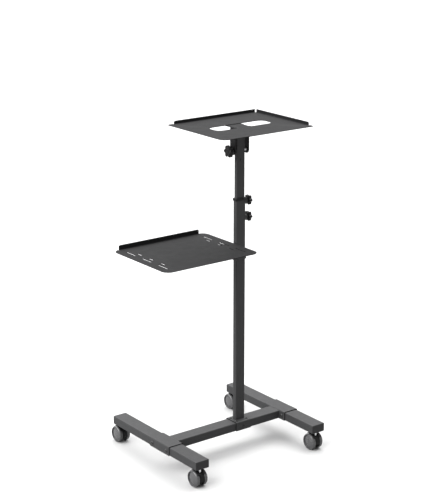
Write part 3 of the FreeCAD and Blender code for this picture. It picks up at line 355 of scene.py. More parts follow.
def rrect(w, h, r, n=8, cx=0.0, cy=0.0):
    """Rounded rectangle; r one radius or four (lower left, lower right, upper right,
    upper left)."""
    rs = r if isinstance(r, (list, tuple)) else [r] * 4
    out = []
    for k, (sx, sy, a0) in enumerate(((-1, -1, 180), (1, -1, 270), (1, 1, 0), (-1, 1, 90))):
        q = rs[k]
        x, y = cx + sx * (w / 2 - q), cy + sy * (h / 2 - q)
        for i in range(n + 1):
            a = math.radians(a0 + 90.0 * i / n)
            out.append((x + q * math.cos(a), y + q * math.sin(a)))
    return out


def ring(r, n=32, cx=0.0, cy=0.0):
    return [(cx + r * math.cos(2 * math.pi * i / n), cy + r * math.sin(2 * math.pi * i / n))
            for i in range(n)]


def obround(cx, cy, length, width, n=8):
    """Slot along the second axis."""
    r, h = width / 2, (length - width) / 2
    out = []
    for i in range(n + 1):
        a = math.pi * i / n
        out.append((cx + r * math.cos(a), cy + h + r * math.sin(a)))
    for i in range(n + 1):
        a = math.pi + math.pi * i / n
        out.append((cx + r * math.cos(a), cy - h + r * math.sin(a)))
    return out


def lathe(bm, profile, n=64, axis="Z", at=(0, 0, 0), flip=False, shape=None):
    """Turns (radius, height) points about an axis. shape(angle, k) scales the radius of
    the k-th point. Radius 0 closes in a point."""
    at = Vector(at)
    s = -1.0 if flip else 1.0
    rows = []
    for k, (r, h) in enumerate(profile):
        if r < 1e-6:
            rows.append([bm.verts.new(turn(axis, 0, 0, s * h) + at)])
            continue
        row = []
        for i in range(n):
            a = 2 * math.pi * i / n
            q = r * (shape(a, k) if shape else 1.0)
            row.append(bm.verts.new(turn(axis, q * math.cos(a), q * math.sin(a), s * h) + at))
        rows.append(row)
    for a, b in zip(rows, rows[1:]):
        if len(a) == 1 and len(b) == 1:
            continue
        for i in range(n):
            j = (i + 1) % n
            if len(a) == 1:
                bm.faces.new((a[0], b[i], b[j]))
            elif len(b) == 1:
                bm.faces.new((a[i], a[j], b[0]))
            else:
                bm.faces.new((a[i], a[j], b[j], b[i]))
    return bm


def turn(axis, u, v, w):
    if axis == "X":
        return Vector((w, u, v))
    if axis == "Y":
        return Vector((v, w, u))
    return Vector((u, v, w))


def arc_pts(cx, cy, r, a0, a1, n):
    return [(cx + r * math.cos(math.radians(a0 + (a1 - a0) * i / n)),
             cy + r * math.sin(math.radians(a0 + (a1 - a0) * i / n))) for i in range(n + 1)]


def weld_bead(name, path, body, width=3.0, closed=True, slot="powder_coat", seed=1):
    """A rippled fillet bead along a path of (point, side, up) in mm."""
    rnd = random.Random(seed)
    bm = bmesh.new()
    rows = []
    prof = [(0.0, 0.0), (1.0, 0.0), (0.86, 0.34), (0.6, 0.6), (0.34, 0.86), (0.0, 1.0)]
    for k, (p, side, up) in enumerate(path):
        s = width * (0.86 + 0.13 * math.sin(k * 2.1) + 0.05 * rnd.uniform(-1, 1))
        rows.append([bm.verts.new(Vector(p) + Vector(side) * (u * s - 0.4)
                                  + Vector(up) * (v * s - 0.4)) for u, v in prof])
    m = len(prof)
    pairs = list(zip(rows, rows[1:])) + ([(rows[-1], rows[0])] if closed else [])
    for a, b in pairs:
        for i in range(m):
            j = (i + 1) % m
            bm.faces.new((a[i], a[j], b[j], b[i]))
    if not closed:
        bm.faces.new(rows[0])
        bm.faces.new(list(reversed(rows[-1])))
    return to_object(name, bm, slot, body, smooth=60)


def path_round(pts, step=2.2):
    """Resamples a closed 2-D loop evenly; gives (point, outward normal)."""
    out, total = [], 0.0
    n = len(pts)
    seg = [math.dist(pts[i], pts[(i + 1) % n]) for i in range(n)]
    length = sum(seg)
    count = max(12, int(length / step))
    i, done = 0, 0.0
    for k in range(count):
        want = length * k / count
        while done + seg[i] < want:
            done += seg[i]
            i += 1
        f = (want - done) / seg[i] if seg[i] else 0.0
        a, b = pts[i], pts[(i + 1) % n]
        out.append((a[0] + (b[0] - a[0]) * f, a[1] + (b[1] - a[1]) * f))
    res = []
    for k in range(count):
        a, b = out[k - 1], out[(k + 1) % count]
        t = Vector((b[0] - a[0], b[1] - a[1])).normalized()
        res.append((out[k], (t.y, -t.x)))
    return res


# ------------------------------------------------------------------- the base
LEG_Y = BY + 41.0
ZM = LEG_Z0 + LEG_H / 2
BOLT_Y = (BY - 43.0, BY + 43.0)

for side, sx in (("left", -1), ("right", 1)):
    cx = BX + sx * 260.0
    bm = bmesh.new()
    prism(bm, [rrect(55, 31, 3.0, 6, cx, ZM), rrect(52, 28, 1.5, 6, cx, ZM)], "Y",
          LEG_Y - 254.5, LEG_Y + 254.5)
    to_object("LegTube_" + side, bm, "powder_coat", "base", ["leg_tube_" + side],
              bevel=0.3, segments=2)

    # saddle: one sheet bent over the leg
    h = LEG_H + SHEET
    ho, hi = 30.5, 27.55
    outer = [(cx + ho, LEG_Z0)] + arc_pts(cx + ho - 4.2, LEG_Z0 + h - 4.2, 4.2, 0, 90, 6) \
        + arc_pts(cx - ho + 4.2, LEG_Z0 + h - 4.2, 4.2, 90, 180, 6) + [(cx - ho, LEG_Z0)]
    inner = [(cx - hi, LEG_Z0)] + arc_pts(cx - hi + 1.2, LEG_Z0 + LEG_H - 1.15, 1.2, 180, 90, 3) \
        + arc_pts(cx + hi - 1.2, LEG_Z0 + LEG_H - 1.15, 1.2, 90, 0, 3) + [(cx + hi, LEG_Z0)]
    bm = bmesh.new()
    prism(bm, [outer + inner], "Y", BY - 58.5, BY + 58.5)
    # its end faces carry the near-black painted seam shade
    to_object("LegSaddle_" + side, bm, "powder_coat", "base", ["leg_saddle_" + side],
              bevel=0.25, segments=2, ends=1)

# end caps: a domed flange with soft edges, one piece per tube end
bm = bmesh.new()
for sx in (-1, 1):
    for sy in (-1, 1):
        cx = BX + sx * 260.0
        y0 = LEG_Y + sy * 254.5
        rows = []
        for inset, dy in ((0.0, 0.0), (0.0, 0.5), (0.22, 1.1), (0.75, 1.7), (1.7, 2.15),
                          (3.4, 2.4), (6.0, 2.5), (9.0, 2.5)):
            w, h = 55 - 2 * inset, 31 - 2 * inset
            rows.append([bm.verts.new((x, y0 + sy * dy, z)) for x, z in
                         rrect(w, h, max(3.0 - inset * 0.5, 0.8), 6, cx, ZM)])
        for a, b in zip(rows, rows[1:]):
            for i in range(len(a)):
                j = (i + 1) % len(a)
                bm.faces.new((a[i], a[j], b[j], b[i]))
        bm.faces.new(rows[-1])
        # plug behind the flange, closing the piece
        back = [rows[0]]
        for dy, inset in ((0.0, 1.7), (-5.0, 1.7), (-5.9, 2.3)):
            back.append([bm.verts.new((x, y0 + sy * dy, z)) for x, z in
                         rrect(55 - 2 * inset, 31 - 2 * inset, 1.4, 6, cx, ZM)])
        for a, b in zip(back, back[1:]):
            for i in range(len(a)):
                j = (i + 1) % len(a)
                bm.faces.new((a[i], b[i], b[j], a[j]))
        bm.faces.new(back[-1])
to_object("LegEndCaps", bm, "black_plastic", "base", ["leg_end_caps"], smooth=30,
          finish="cap_plastic")

bm = bmesh.new()
prism(bm, [rrect(55, 31, 3.0, 6, BY, ZM), rrect(52, 28, 1.5, 6, BY, ZM)], "X",
      BX - 229.5, BX + 229.5)
to_object("Crossbar", bm, "powder_coat", "base", ["crossbar_tube"], bevel=0.3)

# mast saddle, bent over the crossbar
h = LEG_H + SHEET
outer = [(BY + ho, LEG_Z0)] + arc_pts(BY + ho - 4.2, LEG_Z0 + h - 4.2, 4.2, 0, 90, 6) \
    + arc_pts(BY - ho + 4.2, LEG_Z0 + h - 4.2, 4.2, 90, 180, 6) + [(BY - ho, LEG_Z0)]
inner = [(BY - hi, LEG_Z0)] + arc_pts(BY - hi + 1.2, LEG_Z0 + LEG_H - 1.15, 1.2, 180, 90, 3) \
    + arc_pts(BY + hi - 1.2, LEG_Z0 + LEG_H - 1.15, 1.2, 90, 0, 3) + [(BY + hi, LEG_Z0)]
bm = bmesh.new()
prism(bm, [outer + inner], "X", MX - 33, MX + 33)
# its end faces carry the near-black painted seam shade
to_object("MastSaddle", bm, "powder_coat", "base", ["mast_saddle"], bevel=0.25, segments=2,
          ends=0)


def frame_for(axis):
    """Rotation that takes +Z to the given direction."""
    return Vector(axis).to_track_quat("Z", "Y").to_matrix()


def stamp(bm, pts_faces, at, axis):
    """Copies a small mesh made about +Z to a place, its +Z along axis."""
    verts, faces = pts_faces
    rot = frame_for(axis)
    at = Vector(at)
    vs = [bm.verts.new(at + rot @ Vector(v)) for v in verts]
    for f in faces:
        bm.faces.new([vs[i] for i in f])


def button_head(r, h, socket, shank_r=None, shank=0.0, n=36):
    """A button head with a hexagon socket, on z = 0, dome up; shank below."""
    prof = [(r * 0.985, 0.0), (r, h * 0.12), (r * 0.985, h * 0.3), (r * 0.93, h * 0.55),
            (r * 0.82, h * 0.78), (r * 0.66, h * 0.93), (socket * 1.32, h)]
    verts, faces = [], []

    def row(rr, z, hexed=False):
        start = len(verts)
        for i in range(n):
            a = 2 * math.pi * i / n
            q = rr
            if hexed:
                b = (a % (math.pi / 3)) - math.pi / 6
                q = rr / math.cos(b)
            verts.append((q * math.cos(a), q * math.sin(a), z))
        return start

    starts = [row(a, z) for a, z in prof]
    starts.append(row(socket * 1.02, h, True))
    starts.append(row(socket * 0.98, h - 0.25, True))
    starts.append(row(socket * 0.97, h * 0.25, True))
    for a, b in zip(starts, starts[1:]):
        for i in range(n):
            j = (i + 1) % n
            faces.append((a + i, a + j, b + j, b + i))
    verts.append((0, 0, h * 0.12))
    c = len(verts) - 1
    last = starts[-1]
    for i in range(n):
        faces.append((last + i, last + (i + 1) % n, c))
    # underside and shank
    low = [starts[0]]
    sr = shank_r or r * 0.5
    low.append(row(sr, 0.0))
    low.append(row(sr, -max(shank, 0.4)))
    for a, b in zip(low, low[1:]):
        for i in range(n):
            j = (i + 1) % n
            faces.append((a + j, a + i, b + i, b + j))
    faces.append(tuple(low[-1] + i for i in reversed(range(n))))
    return verts, faces


# leg bolts: button heads on both sides of each saddle
bm = bmesh.new()
m8 = button_head(7.0, 3.5, 2.5, 4.0, 3.2)
for sx in (-1, 1):
    cx = BX + sx * 260.0
    for y in BOLT_Y:
        for s in (-1, 1):
            stamp(bm, m8, (cx + s * 30.5, y, ZM), (s, 0, 0))
to_object("LegBolts", bm, "black_screws", "base", ["leg_bolts"], smooth=40,
          finish="leg_screws")

bm = bmesh.new()
m6 = button_head(5.5, 3.0, 2.0, 3.0, 3.2)
for sx in (-1, 1):
    for sy in (-1, 1):
        stamp(bm, m6, (MX + sx * 23.5, BY + sy * 17.5, 105.0), (0, 0, 1))
for s in (-1, 1):
    stamp(bm, m6, (MX, BY + s * 30.5, ZM), (0, s, 0))
to_object("MastSaddleScrews", bm, "black_screws", "base", ["mast_saddle_screws"], smooth=40)

# outer mast tube
bm = bmesh.new()
prism(bm, [rrect(40, 20, 3.6, 8, MX, BY), rrect(37, 17, 2.1, 8, MX, BY)], "Z", 105, 930)
to_object("MastOuterTube", bm, "powder_coat", "base", ["mast_outer_tube"], bevel=0.3)

# collar at the tube's top: soft shoulders, mast opening through it
bm = bmesh.new()
levels = [(36, 16, 3.0, 934 - 0.8), (36.6, 16.6, 3.2, 934.0), (43.5, 23.5, 5.6, 934.0),
          (45.2, 25.2, 6.2, 933.4), (46, 26, 6.5, 932.0), (46, 26, 6.5, 926.6),
          (45.4, 25.4, 6.3, 925.6), (44.4, 24.4, 5.8, 925.0), (40.1, 20.1, 3.7, 925.0),
          (40.1, 20.1, 3.7, 930.0), (36, 16, 3.0, 930.0)]
rows = [[bm.verts.new((x, y, z)) for x, y in rrect(w, d_, r, 8, MX, BY)]
        for w, d_, r, z in levels]
for a, b in zip(rows, rows[1:] + rows[:1]):
    for i in range(len(a)):
        j = (i + 1) % len(a)
        bm.faces.new((a[i], a[j], b[j], b[i]))
to_object("MastCollar", bm, "black_plastic", "base", ["mast_collar"], smooth=40)

# clamp bosses: nuts welded to the tube
bm = bmesh.new()
for z in (921.0, 862.0):
    lathe(bm, [(5.05, 0.0), (8.6, 0.0), (9.0, 0.4), (9.0, 9.2), (8.4, 10.0), (5.6, 10.0),
               (5.05, 9.4), (5.05, 0.0)], 40, "X", (MX + 20.0, BY, z))
to_object("ClampBosses", bm, "powder_coat", "base", ["clamp_bosses"], smooth=35)

# weld beads
for z, nm, sd in ((921.0, "upper", 3), (862.0, "lower", 4)):
    path = []
    n = 26
    for k in range(n):
        a = 2 * math.pi * k / n
        c, s = math.cos(a), math.sin(a)
        path.append(((MX + 20.0, BY + 9.0 * c, z + 9.0 * s), (0, c, s), (1, 0, 0)))
    weld_bead("BossWeld_" + nm, path, "base", 1.5, seed=sd)

path = [((p[0], p[1], 105.0), (q[0], q[1], 0), (0, 0, 1))
        for p, q in path_round(rrect(40, 20, 3.6, 8, MX, BY), 2.0)]
weld_bead("MastFootWeld", path, "base", 1.5, seed=11)
for side, sx in (("left", -1), ("right", 1)):
    x = BX + sx * 229.5
    path = [((x, p[0], p[1]), (0, q[0], q[1]), (-sx, 0, 0))
            for p, q in path_round(rrect(55, 31, 3.0, 6, BY, ZM), 2.4)]
    weld_bead("CrossbarWeld_" + side, path, "base", 1.2, seed=20 + sx)

# ------------------------------------------------------------------- the mast
bm = bmesh.new()
prism(bm, [rrect(35, 15, 2.5, 8, MX, BY), rrect(32, 12, 1.0, 8, MX, BY)], "Z", 520, 1150)
to_object("MastInnerTube", bm, "powder_coat", "mast", ["mast_inner_tube"], bevel=0.25)

bm = bmesh.new()
levels = [(31, 11, 0.6, 1138.5), (31.7, 11.7, 0.8, 1139.5), (31.8, 11.8, 0.8, 1150.0),
          (35, 15, 2.5, 1150.0), (35, 15, 2.5, 1151.4), (34.4, 14.4, 2.3, 1152.2),
          (33.2, 13.2, 1.8, 1152.5)]
rows = [[bm.verts.new((x, y, z)) for x, y in rrect(w, d_, r, 6, MX, BY)]
        for w, d_, r, z in levels]
for a, b in zip(rows, rows[1:]):
    for i in range(len(a)):
        j = (i + 1) % len(a)
        bm.faces.new((a[i], a[j], b[j], b[i]))
bm.faces.new(rows[-1])
bm.faces.new(list(reversed(rows[0])))
to_object("MastTopPlug", bm, "black_plastic", "mast", ["mast_top_plug"], smooth=40)

bm = bmesh.new()
m5 = button_head(4.0, 1.6, 1.4, 2.5, 3.0)
stamp(bm, m5, (MX - 17.5, BY, 1071), (-1, 0, 0))
stamp(bm, m5, (MX, BY - 7.5, 1071), (0, -1, 0))
to_object("MastStopScrews", bm, "black_screws", "mast", ["mast_stop_screws"], smooth=40)

# tilt pivot: hexagon head, washer and shank
bm = bmesh.new()
n = 6
face = MX + 30.8
hexr = [(6.1, 0.0), (7.3, 0.25), (7.5, 0.9), (7.5, 4.6), (7.1, 5.3), (6.0, 5.5)]
rows = []
for r, dx in hexr:
    row = []
    for i in range(48):
        a = 2 * math.pi * i / 48
        b = (a % (math.pi / 3)) - math.pi / 6
        q = min(r, 7.5 * math.cos(math.pi / 6) / math.cos(b)) if r > 7.0 else r
        row.append(bm.verts.new((face + dx, BY + q * math.cos(a), 1105 + q * math.sin(a))))
    rows.append(row)
for a, b in zip(rows, rows[1:]):
    for i in range(48):
        j = (i + 1) % 48
        bm.faces.new((a[i], a[j], b[j], b[i]))
bm.faces.new(rows[-1])
bm.faces.new(list(reversed(rows[0])))
lathe(bm, [(0, -80.0), (3.4, -80.0), (4.0, -79.3), (4.0, 0.2), (0, 0.2)], 32, "X",
      (face, BY, 1105))
to_object("TiltPivotBolt", bm, "black_screws", "mast", ["tilt_pivot_bolt"], smooth=30)

bm = bmesh.new()
for s in (-1, 1):
    lathe(bm, [(4.1, 0.0), (5.6, 0.0), (6.0, 0.4), (6.0, 9.3), (5.6, 9.7), (4.1, 9.7),
               (4.1, 0.0)], 36, "X", (MX + s * 17.5, BY, 1105), flip=s < 0)
spacers = to_object("TiltSpacers", bm, "black_screws", "mast", ["tilt_spacers"], smooth=30)
# the right-hand spacer is bright
spacers.data.materials.append(MAT["zinc_steel"])
mid = sum(v.co.x for v in spacers.data.vertices) / len(spacers.data.vertices)
for p in spacers.data.polygons:
    if p.center.x > mid:
        p.material_index = 1


# ------------------------------------------------------------------ hand knobs
def hand_knob(name, node, body, at, axis, core, lobe, thick, neck_r, neck, screw_r=None,
              screw=0.0, lobes=6, slot="black_plastic"):
    """Moulded star knob: soft lobes, dished top with a raised ring, a neck under the head."""
    rot = frame_for(axis)
    at = Vector(at)
    n = lobes * 20
    big = core + lobe - 0.6
    valley = core - 1.2

    def shape(a):
        c = 0.5 + 0.5 * math.cos(lobes * a)
        return valley + (big - valley) * c ** 0.8

    bm = bmesh.new()
    prof = [(0.80, 0.0, 0), (0.93, 0.2, 0), (0.985, 0.9, 1), (1.0, 2.0, 1),
            (1.0, thick * 0.5, 1), (0.995, thick - 3.0, 1), (0.965, thick - 1.4, 1),
            (0.90, thick - 0.45, 1), (0.80, thick - 0.05, 1), (0.72, thick, 1)]
    rows = []
    for f, z, _k in prof:
        row = []
        for i in range(n):
            a = 2 * math.pi * i / n
            q = shape(a) * f
            row.append(bm.verts.new((q * math.cos(a), q * math.sin(a), z)))
        rows.append(row)
    # the top: a shallow dish with a disc let into it
    for r, z in ((core * 0.60, thick - 0.3), (core * 0.56, thick - 1.0), (core * 0.50, thick - 1.0),
                 (core * 0.48, thick - 0.45), (core * 0.30, thick - 0.3)):
        rows.append([bm.verts.new((r * math.cos(2 * math.pi * i / n),
                                   r * math.sin(2 * math.pi * i / n), z)) for i in range(n)])
    for a, b in zip(rows, rows[1:]):
        for i in range(n):
            j = (i + 1) % n
            bm.faces.new((a[i], a[j], b[j], b[i]))
    c = bm.verts.new((0, 0, thick - 0.25))
    for i in range(n):
        bm.faces.new((rows[-1][i], rows[-1][(i + 1) % n], c))
    # underside, neck and screw
    low = [rows[0]]
    under = [(neck_r + 1.2, 0.0), (neck_r + 0.3, -0.3), (neck_r, -0.9),
             (neck_r - 0.05, -neck + 0.5), (neck_r - 0.6, -neck)]
    sr = screw_r or 4.05
    under.append((sr, -neck))
    if screw_r:
        # thread: fine rings along the screw
        z = -neck
        pitch = 1.5
        while z > -screw + 1.6:
            under += [(screw_r, z - 0.25), (screw_r - 0.55, z - pitch / 2), (screw_r, z - pitch + 0.25)]
            z -= pitch
        under += [(screw_r - 0.9, -screw)]
    else:
        under += [(sr, thick - 5.0)]
    for r, z in under:
        low.append([bm.verts.new((r * math.cos(2 * math.pi * i / n),
                                  r * math.sin(2 * math.pi * i / n), z)) for i in range(n)])
    for a, b in zip(low, low[1:]):
        for i in range(n):
            j = (i + 1) % n
            bm.faces.new((a[j], a[i], b[i], b[j]))
    bm.faces.new(list(reversed(low[-1])))
    for v in bm.verts:
        v.co = at + rot @ v.co
    to_object(name, bm, slot, body, [node], smooth=40)


hand_knob("TiltKnob", "tilt_knob", "tilt_knob", (MX - 39.5, BY, 1105), (-1, 0, 0),
          17.0, 5.6, 15.0, 9.5, 8.0)
for nm, z in (("upper", 921.0), ("lower", 862.0)):
    hand_knob("MastKnob_" + nm, "mast_knob_" + nm, "mast_knob_" + nm, (MX + 33, BY, z),
              (1, 0, 0), 14.5, 4.6, 13.0, 8.5, 2.0, 5.0, 15.0)
hand_knob("TrayClampKnob", "tray_clamp_knob", "tray_clamp_knob", (MX, BY + 27.0, 730.0),
          (0, 1, 0), 14.5, 4.6, 13.0, 8.5, 2.0, 5.0, 16.5)


# ---------------------------------------------------------------------- trays
def strip(bm, edge_a, edge_b, normal, radius, height, steps=7, round_a=6.0, round_b=6.0):
    """Bend and upstand from a straight edge of the flat sheet, its ends rounded at the
    top. edge_a, edge_b: verts of the edge; normal: outward direction."""
    nrm = Vector(normal)
    pa, pb = edge_a.co.copy(), edge_b.co.copy()
    along = (pb - pa).normalized()
    prev = (edge_a, edge_b)
    for k in range(1, steps + 1):
        a = math.pi / 2 * k / steps
        off = nrm * (radius * math.sin(a)) + Vector((0, 0, radius * (1 - math.cos(a))))
        cur = (bm.verts.new(pa + off), bm.verts.new(pb + off))
        bm.faces.new((prev[0], prev[1], cur[1], cur[0]))
        prev = cur
    base_a, base_b = prev[0].co.copy(), prev[1].co.copy()
    top = height - radius
    loop = [prev[0], prev[1]]
    if round_b > 0:
        for u, v in arc_pts(-round_b, top - round_b, round_b, 0, 90, 8):
            loop.append(bm.verts.new(base_b + along * u + Vector((0, 0, v))))
    else:
        loop.append(bm.verts.new(base_b + Vector((0, 0, top))))
    if round_a > 0:
        for u, v in arc_pts(round_a, top - round_a, round_a, 90, 180, 8):
            loop.append(bm.verts.new(base_a + along * u + Vector((0, 0, v))))
    else:
        loop.append(bm.verts.new(base_a + Vector((0, 0, top))))
    bm.faces.new(loop)


def sheet_face(bm, loops, z):
    es, keep = [], []
    for pts in loops:
        vs = [bm.verts.new((x, y, z)) for x, y in pts]
        keep.append(vs)
        es += [bm.edges.new((vs[i], vs[(i + 1) % len(vs)])) for i in range(len(vs))]
    bmesh.ops.triangle_fill(bm, use_beauty=True, use_dissolve=False, edges=es)
    return keep


T = 2.0
RB = 2.2          # bend radius of the sheet's middle
W2, D2 = 195.0, 160.0

# upper tray, about its own middle, sheet middle at z = -1 from the top face
ux, uy, uz = MX + 3.0, BY, 1190.0
yl = D2 - 4.0 - T / 2 - RB          # flat ends here under the rear lip
xl = W2 - 4.0 - T / 2 - RB          # and here under the right lip
x0 = -W2 + 25.0                     # rear lip starts
y0 = -D2 + 22.0                     # right lip starts
rel = 2.0                           # relief cut beside a lip's end
out = []
out += [(x, y) for x, y in arc_pts(-W2 + 28, -D2 + 28, 28, 180, 270, 14)]
out += [(x, y) for x, y in arc_pts(W2 - 8, -D2 + 8, 8, 270, 360, 8)]
out += [(W2, y0 - rel - 2.0), (W2 - 2.0, y0 - rel), (xl - 0.5, y0 - rel), (xl - 0.5, y0)]
ia = len(out)
out += [(xl, y0), (xl, yl - 2.4)]
out += [(xl - 2.4, yl)]
ib = len(out) - 1
out += [(x0, yl), (x0, yl - 0.5), (x0 - rel, yl - 0.5), (x0 - rel, D2 - 2.0), (x0 - rel - 2.0, D2)]
out += [(x, y) for x, y in arc_pts(-W2 + 8, D2 - 8, 8, 90, 180, 8)]
hole = rrect(240, 66, 24, 12)
bm = bmesh.new()
holes = [hole]
for sx in (-1, 1):
    for sy in (-1, 1):
        holes.append(ring(2.6, 20, sx * 20 - 3.0, sy * 43))
loops = sheet_face(bm, [out] + holes, -T / 2)
o = loops[0]
strip(bm, o[ia], o[ia + 1], (1, 0, 0), RB, T / 2 + 11.0, round_a=6.0, round_b=1.0)
strip(bm, o[ib], o[ib + 1], (0, 1, 0), RB, T / 2 + 11.0, round_a=1.0, round_b=6.0)
bmesh.ops.translate(bm, verts=bm.verts, vec=(ux, uy, uz))
to_object("UpperTray", bm, "black_coat", "upper_tray", ["upper_tray_plate"], solidify=T,
          bevel=0.45, segments=3, angle=40)

# lower tray
lx, ly, lz = MX - 44.0 - 195.0, BY - 12.0, 782.0
yl = D2 - T / 2 - RB
out = []
out += arc_pts(-W2 + 28, -D2 + 28, 28, 180, 270, 14)
out += arc_pts(W2 - 28, -D2 + 28, 28, 270, 360, 14)
out += [p for p in arc_pts(W2 - 28, D2 - 28, 28, 0, 90, 14) if p[0] > W2 - 25.0 + 2.0]
out += [(W2 - 25 + 2.0, D2 - 0.35), (W2 - 25 + 1.6, yl - 0.5), (W2 - 25, yl - 0.5)]
ib = len(out)
out += [(W2 - 25, yl), (-W2 + 25, yl)]
out += [(-W2 + 25, yl - 0.5), (-W2 + 25 - 1.6, yl - 0.5), (-W2 + 25 - 2.0, D2 - 0.35)]
out += [p for p in arc_pts(-W2 + 28, D2 - 28, 28, 90, 180, 14) if p[0] < -W2 + 25.0 - 2.0]
holes = []
for e, pitch, length in ((33.0, 94.0, 56.0), (51.0, 68.0, 26.0)):
    for sx in (-1, 1):
        for k in (-1, 0, 1):
            holes.append(obround(sx * (W2 - e), k * pitch, length, 5.0))
bm = bmesh.new()
loops = sheet_face(bm, [out] + holes, -T / 2)
o = loops[0]
strip(bm, o[ib], o[ib + 1], (0, 1, 0), RB, T / 2 + 16.0, round_a=6.0, round_b=6.0)
bmesh.ops.translate(bm, verts=bm.verts, vec=(lx, ly, lz))
to_object("LowerTray", bm, "black_coat", "lower_tray", ["lower_tray_plate"], solidify=T,
          bevel=0.45, segments=3, angle=40)

# tilt bracket: one bent sheet, ears down from the web
T3, R3 = 3.0, 3.2
WEB_Z = 1188.0 - T3 / 2
bm = bmesh.new()
xe = 29.0 - R3
ew = 15.0
out = arc_pts(-30.5 + 4, -52 + 4, 4, 180, 270, 6) + arc_pts(30.5 - 4, -52 + 4, 4, 270, 360, 6)
out += [(30.5, -ew - 2.0), (xe, -ew - 2.0), (xe, -ew)]
ir = len(out) - 1
out += [(xe, ew), (xe, ew + 2.0), (30.5, ew + 2.0)]
out += arc_pts(30.5 - 4, 52 - 4, 4, 0, 90, 6) + arc_pts(-30.5 + 4, 52 - 4, 4, 90, 180, 6)
out += [(-30.5, ew + 2.0), (-xe, ew + 2.0), (-xe, ew)]
il = len(out) - 1
out += [(-xe, -ew), (-xe, -ew - 2.0), (-30.5, -ew - 2.0)]
holes = [ring(2.6, 20, sx * 20, sy * 43) for sx in (-1, 1) for sy in (-1, 1)]
loops = sheet_face(bm, [out] + holes, WEB_Z)
o = loops[0]
for a, b, s in ((o[ir], o[ir + 1], 1), (o[il], o[il + 1], -1)):
    pa, pb = a.co.copy(), b.co.copy()
    prev = (a, b)
    for k in range(1, 8):
        t = math.pi / 2 * k / 7
        off = Vector((s * R3 * math.sin(t), 0, -R3 * (1 - math.cos(t))))
        cur = (bm.verts.new(pa + off), bm.verts.new(pb + off))
        bm.faces.new((prev[0], prev[1], cur[1], cur[0]))
        prev = cur
    x = prev[0].co.x
    ya, yb = prev[0].co.y, prev[1].co.y
    down = [bm.verts.new((x, q[0], 1105 + q[1])) for q in
            arc_pts(0, 0, ew, 0 if yb > 0 else 180, -180 if yb > 0 else 360, 24)]
    chain = [prev[0], prev[1]] + down
    es = [bm.edges.get((chain[0], chain[1]))]
    for i in range(1, len(chain)):
        p, q = chain[i], chain[(i + 1) % len(chain)]
        es.append(bm.edges.new((p, q)))
    hv = [bm.verts.new((x, q[0], 1105 + q[1])) for q in ring(4.05 + 0.1, 32)]
    es += [bm.edges.new((hv[i], hv[(i + 1) % len(hv)])) for i in range(len(hv))]
    bmesh.ops.triangle_fill(bm, use_beauty=True, use_dissolve=False, edges=es)
bmesh.ops.translate(bm, verts=bm.verts, vec=(MX, BY, 0))
to_object("TiltBracket", bm, "black_coat", "upper_tray", ["tilt_bracket"], solidify=T3,
          bevel=0.45, segments=3, angle=40)

bm = bmesh.new()
m5b = button_head(4.5, 2.5, 1.6, 2.5, 4.5)
for sx in (-1, 1):
    for sy in (-1, 1):
        stamp(bm, m5b, (MX + sx * 20, BY + sy * 43, 1185.0), (0, 0, -1))
to_object("TiltBracketScrews", bm, "black_screws", "upper_tray", ["tilt_bracket_screws"],
          smooth=40)

# lower tray support: clamp sleeve, upright, box arm, gusset, cleats and boss
bm = bmesh.new()
prism(bm, [rrect(48, 28, 7.6, 8, MX, BY), rrect(42, 22, 4.6, 8, MX, BY)], "Z", 712, 748)
to_object("ArmSleeve", bm, "powder_coat", "lower_tray", ["lower_tray_arm"], bevel=0.6,
          segments=3)
bm = bmesh.new()
prism(bm, [rrect(40, 58, 2.0, 3, BY, 741.0)], "X", MX - 27, MX - 23.6)
to_object("ArmUpright", bm, "powder_coat", "lower_tray", bevel=0.5)
bm = bmesh.new()
prism(bm, [rrect(40, 25, 3.0, 6, BY, 757.5), rrect(36, 21, 1.2, 6, BY, 757.5)], "X",
      MX - 310, MX - 26.5)
to_object("ArmBeam", bm, "powder_coat", "lower_tray", bevel=0.3)
bm = bmesh.new()
prism(bm, [[(MX - 26.5, 715), (MX - 33, 715), (MX - 97, 742), (MX - 97, 745.4),
            (MX - 26.5, 745.4)]], "Y", BY - 1.5, BY + 1.5)
to_object("ArmGusset", bm, "powder_coat", "lower_tray", bevel=0.4)
for k, x in enumerate((-140.0, -300.0)):
    bm = bmesh.new()
    prism(bm, [rrect(18, 140, 2.0, 4, MX + x, BY)], "Z", 769.8, 780.0)
    to_object("ArmCleat_%d" % k, bm, "powder_coat", "lower_tray", bevel=0.5)
bm = bmesh.new()
lathe(bm, [(5.05, 0.0), (9.0, 0.0), (9.0, 9.2), (8.4, 10.0), (5.6, 10.0), (5.05, 9.4),
           (5.05, 0.0)], 40, "Y", (MX, BY + 14.0, 730.0))
to_object("ArmBoss", bm, "powder_coat", "lower_tray", smooth=35)
path = []
for k in range(26):
    a = 2 * math.pi * k / 26
    c, s = math.cos(a), math.sin(a)
    path.append(((MX + 9.0 * c, BY + 14.0, 730 + 9.0 * s), (c, 0, s), (0, 1, 0)))
weld_bead("ArmBossWeld", path, "lower_tray", 1.5, seed=31)

# -------------------------------------------------------------------- casters
SPOTS = [(e + "_" + sd, sx, way) for sd, sx in (("left", -1), ("right", 1))
         for e, way in (("front", -1), ("rear", 1))]

bm = bmesh.new()
for nm, sx, way in SPOTS:
    at = (BX + sx * 260.0, LEG_Y + way * 239.0, 0)
    lathe(bm, [(0, 43.0), (4.4, 43.0), (5.0, 43.6), (5.0, 69.5), (6.2, 69.5), (6.5, 69.8),
               (6.5, 70.7), (6.2, 71.0), (5.0, 71.0), (5.0, 72.5), (6.7, 72.5), (6.9, 73.0),
               (6.9, 78.0), (6.5, 78.5), (5.0, 78.5), (5.0, 84.4), (4.4, 85.0), (0, 85.0)],
          36, "Z", at)
to_object("CasterStems", bm, "zinc_steel", "base", ["caster_stems"], smooth=35)


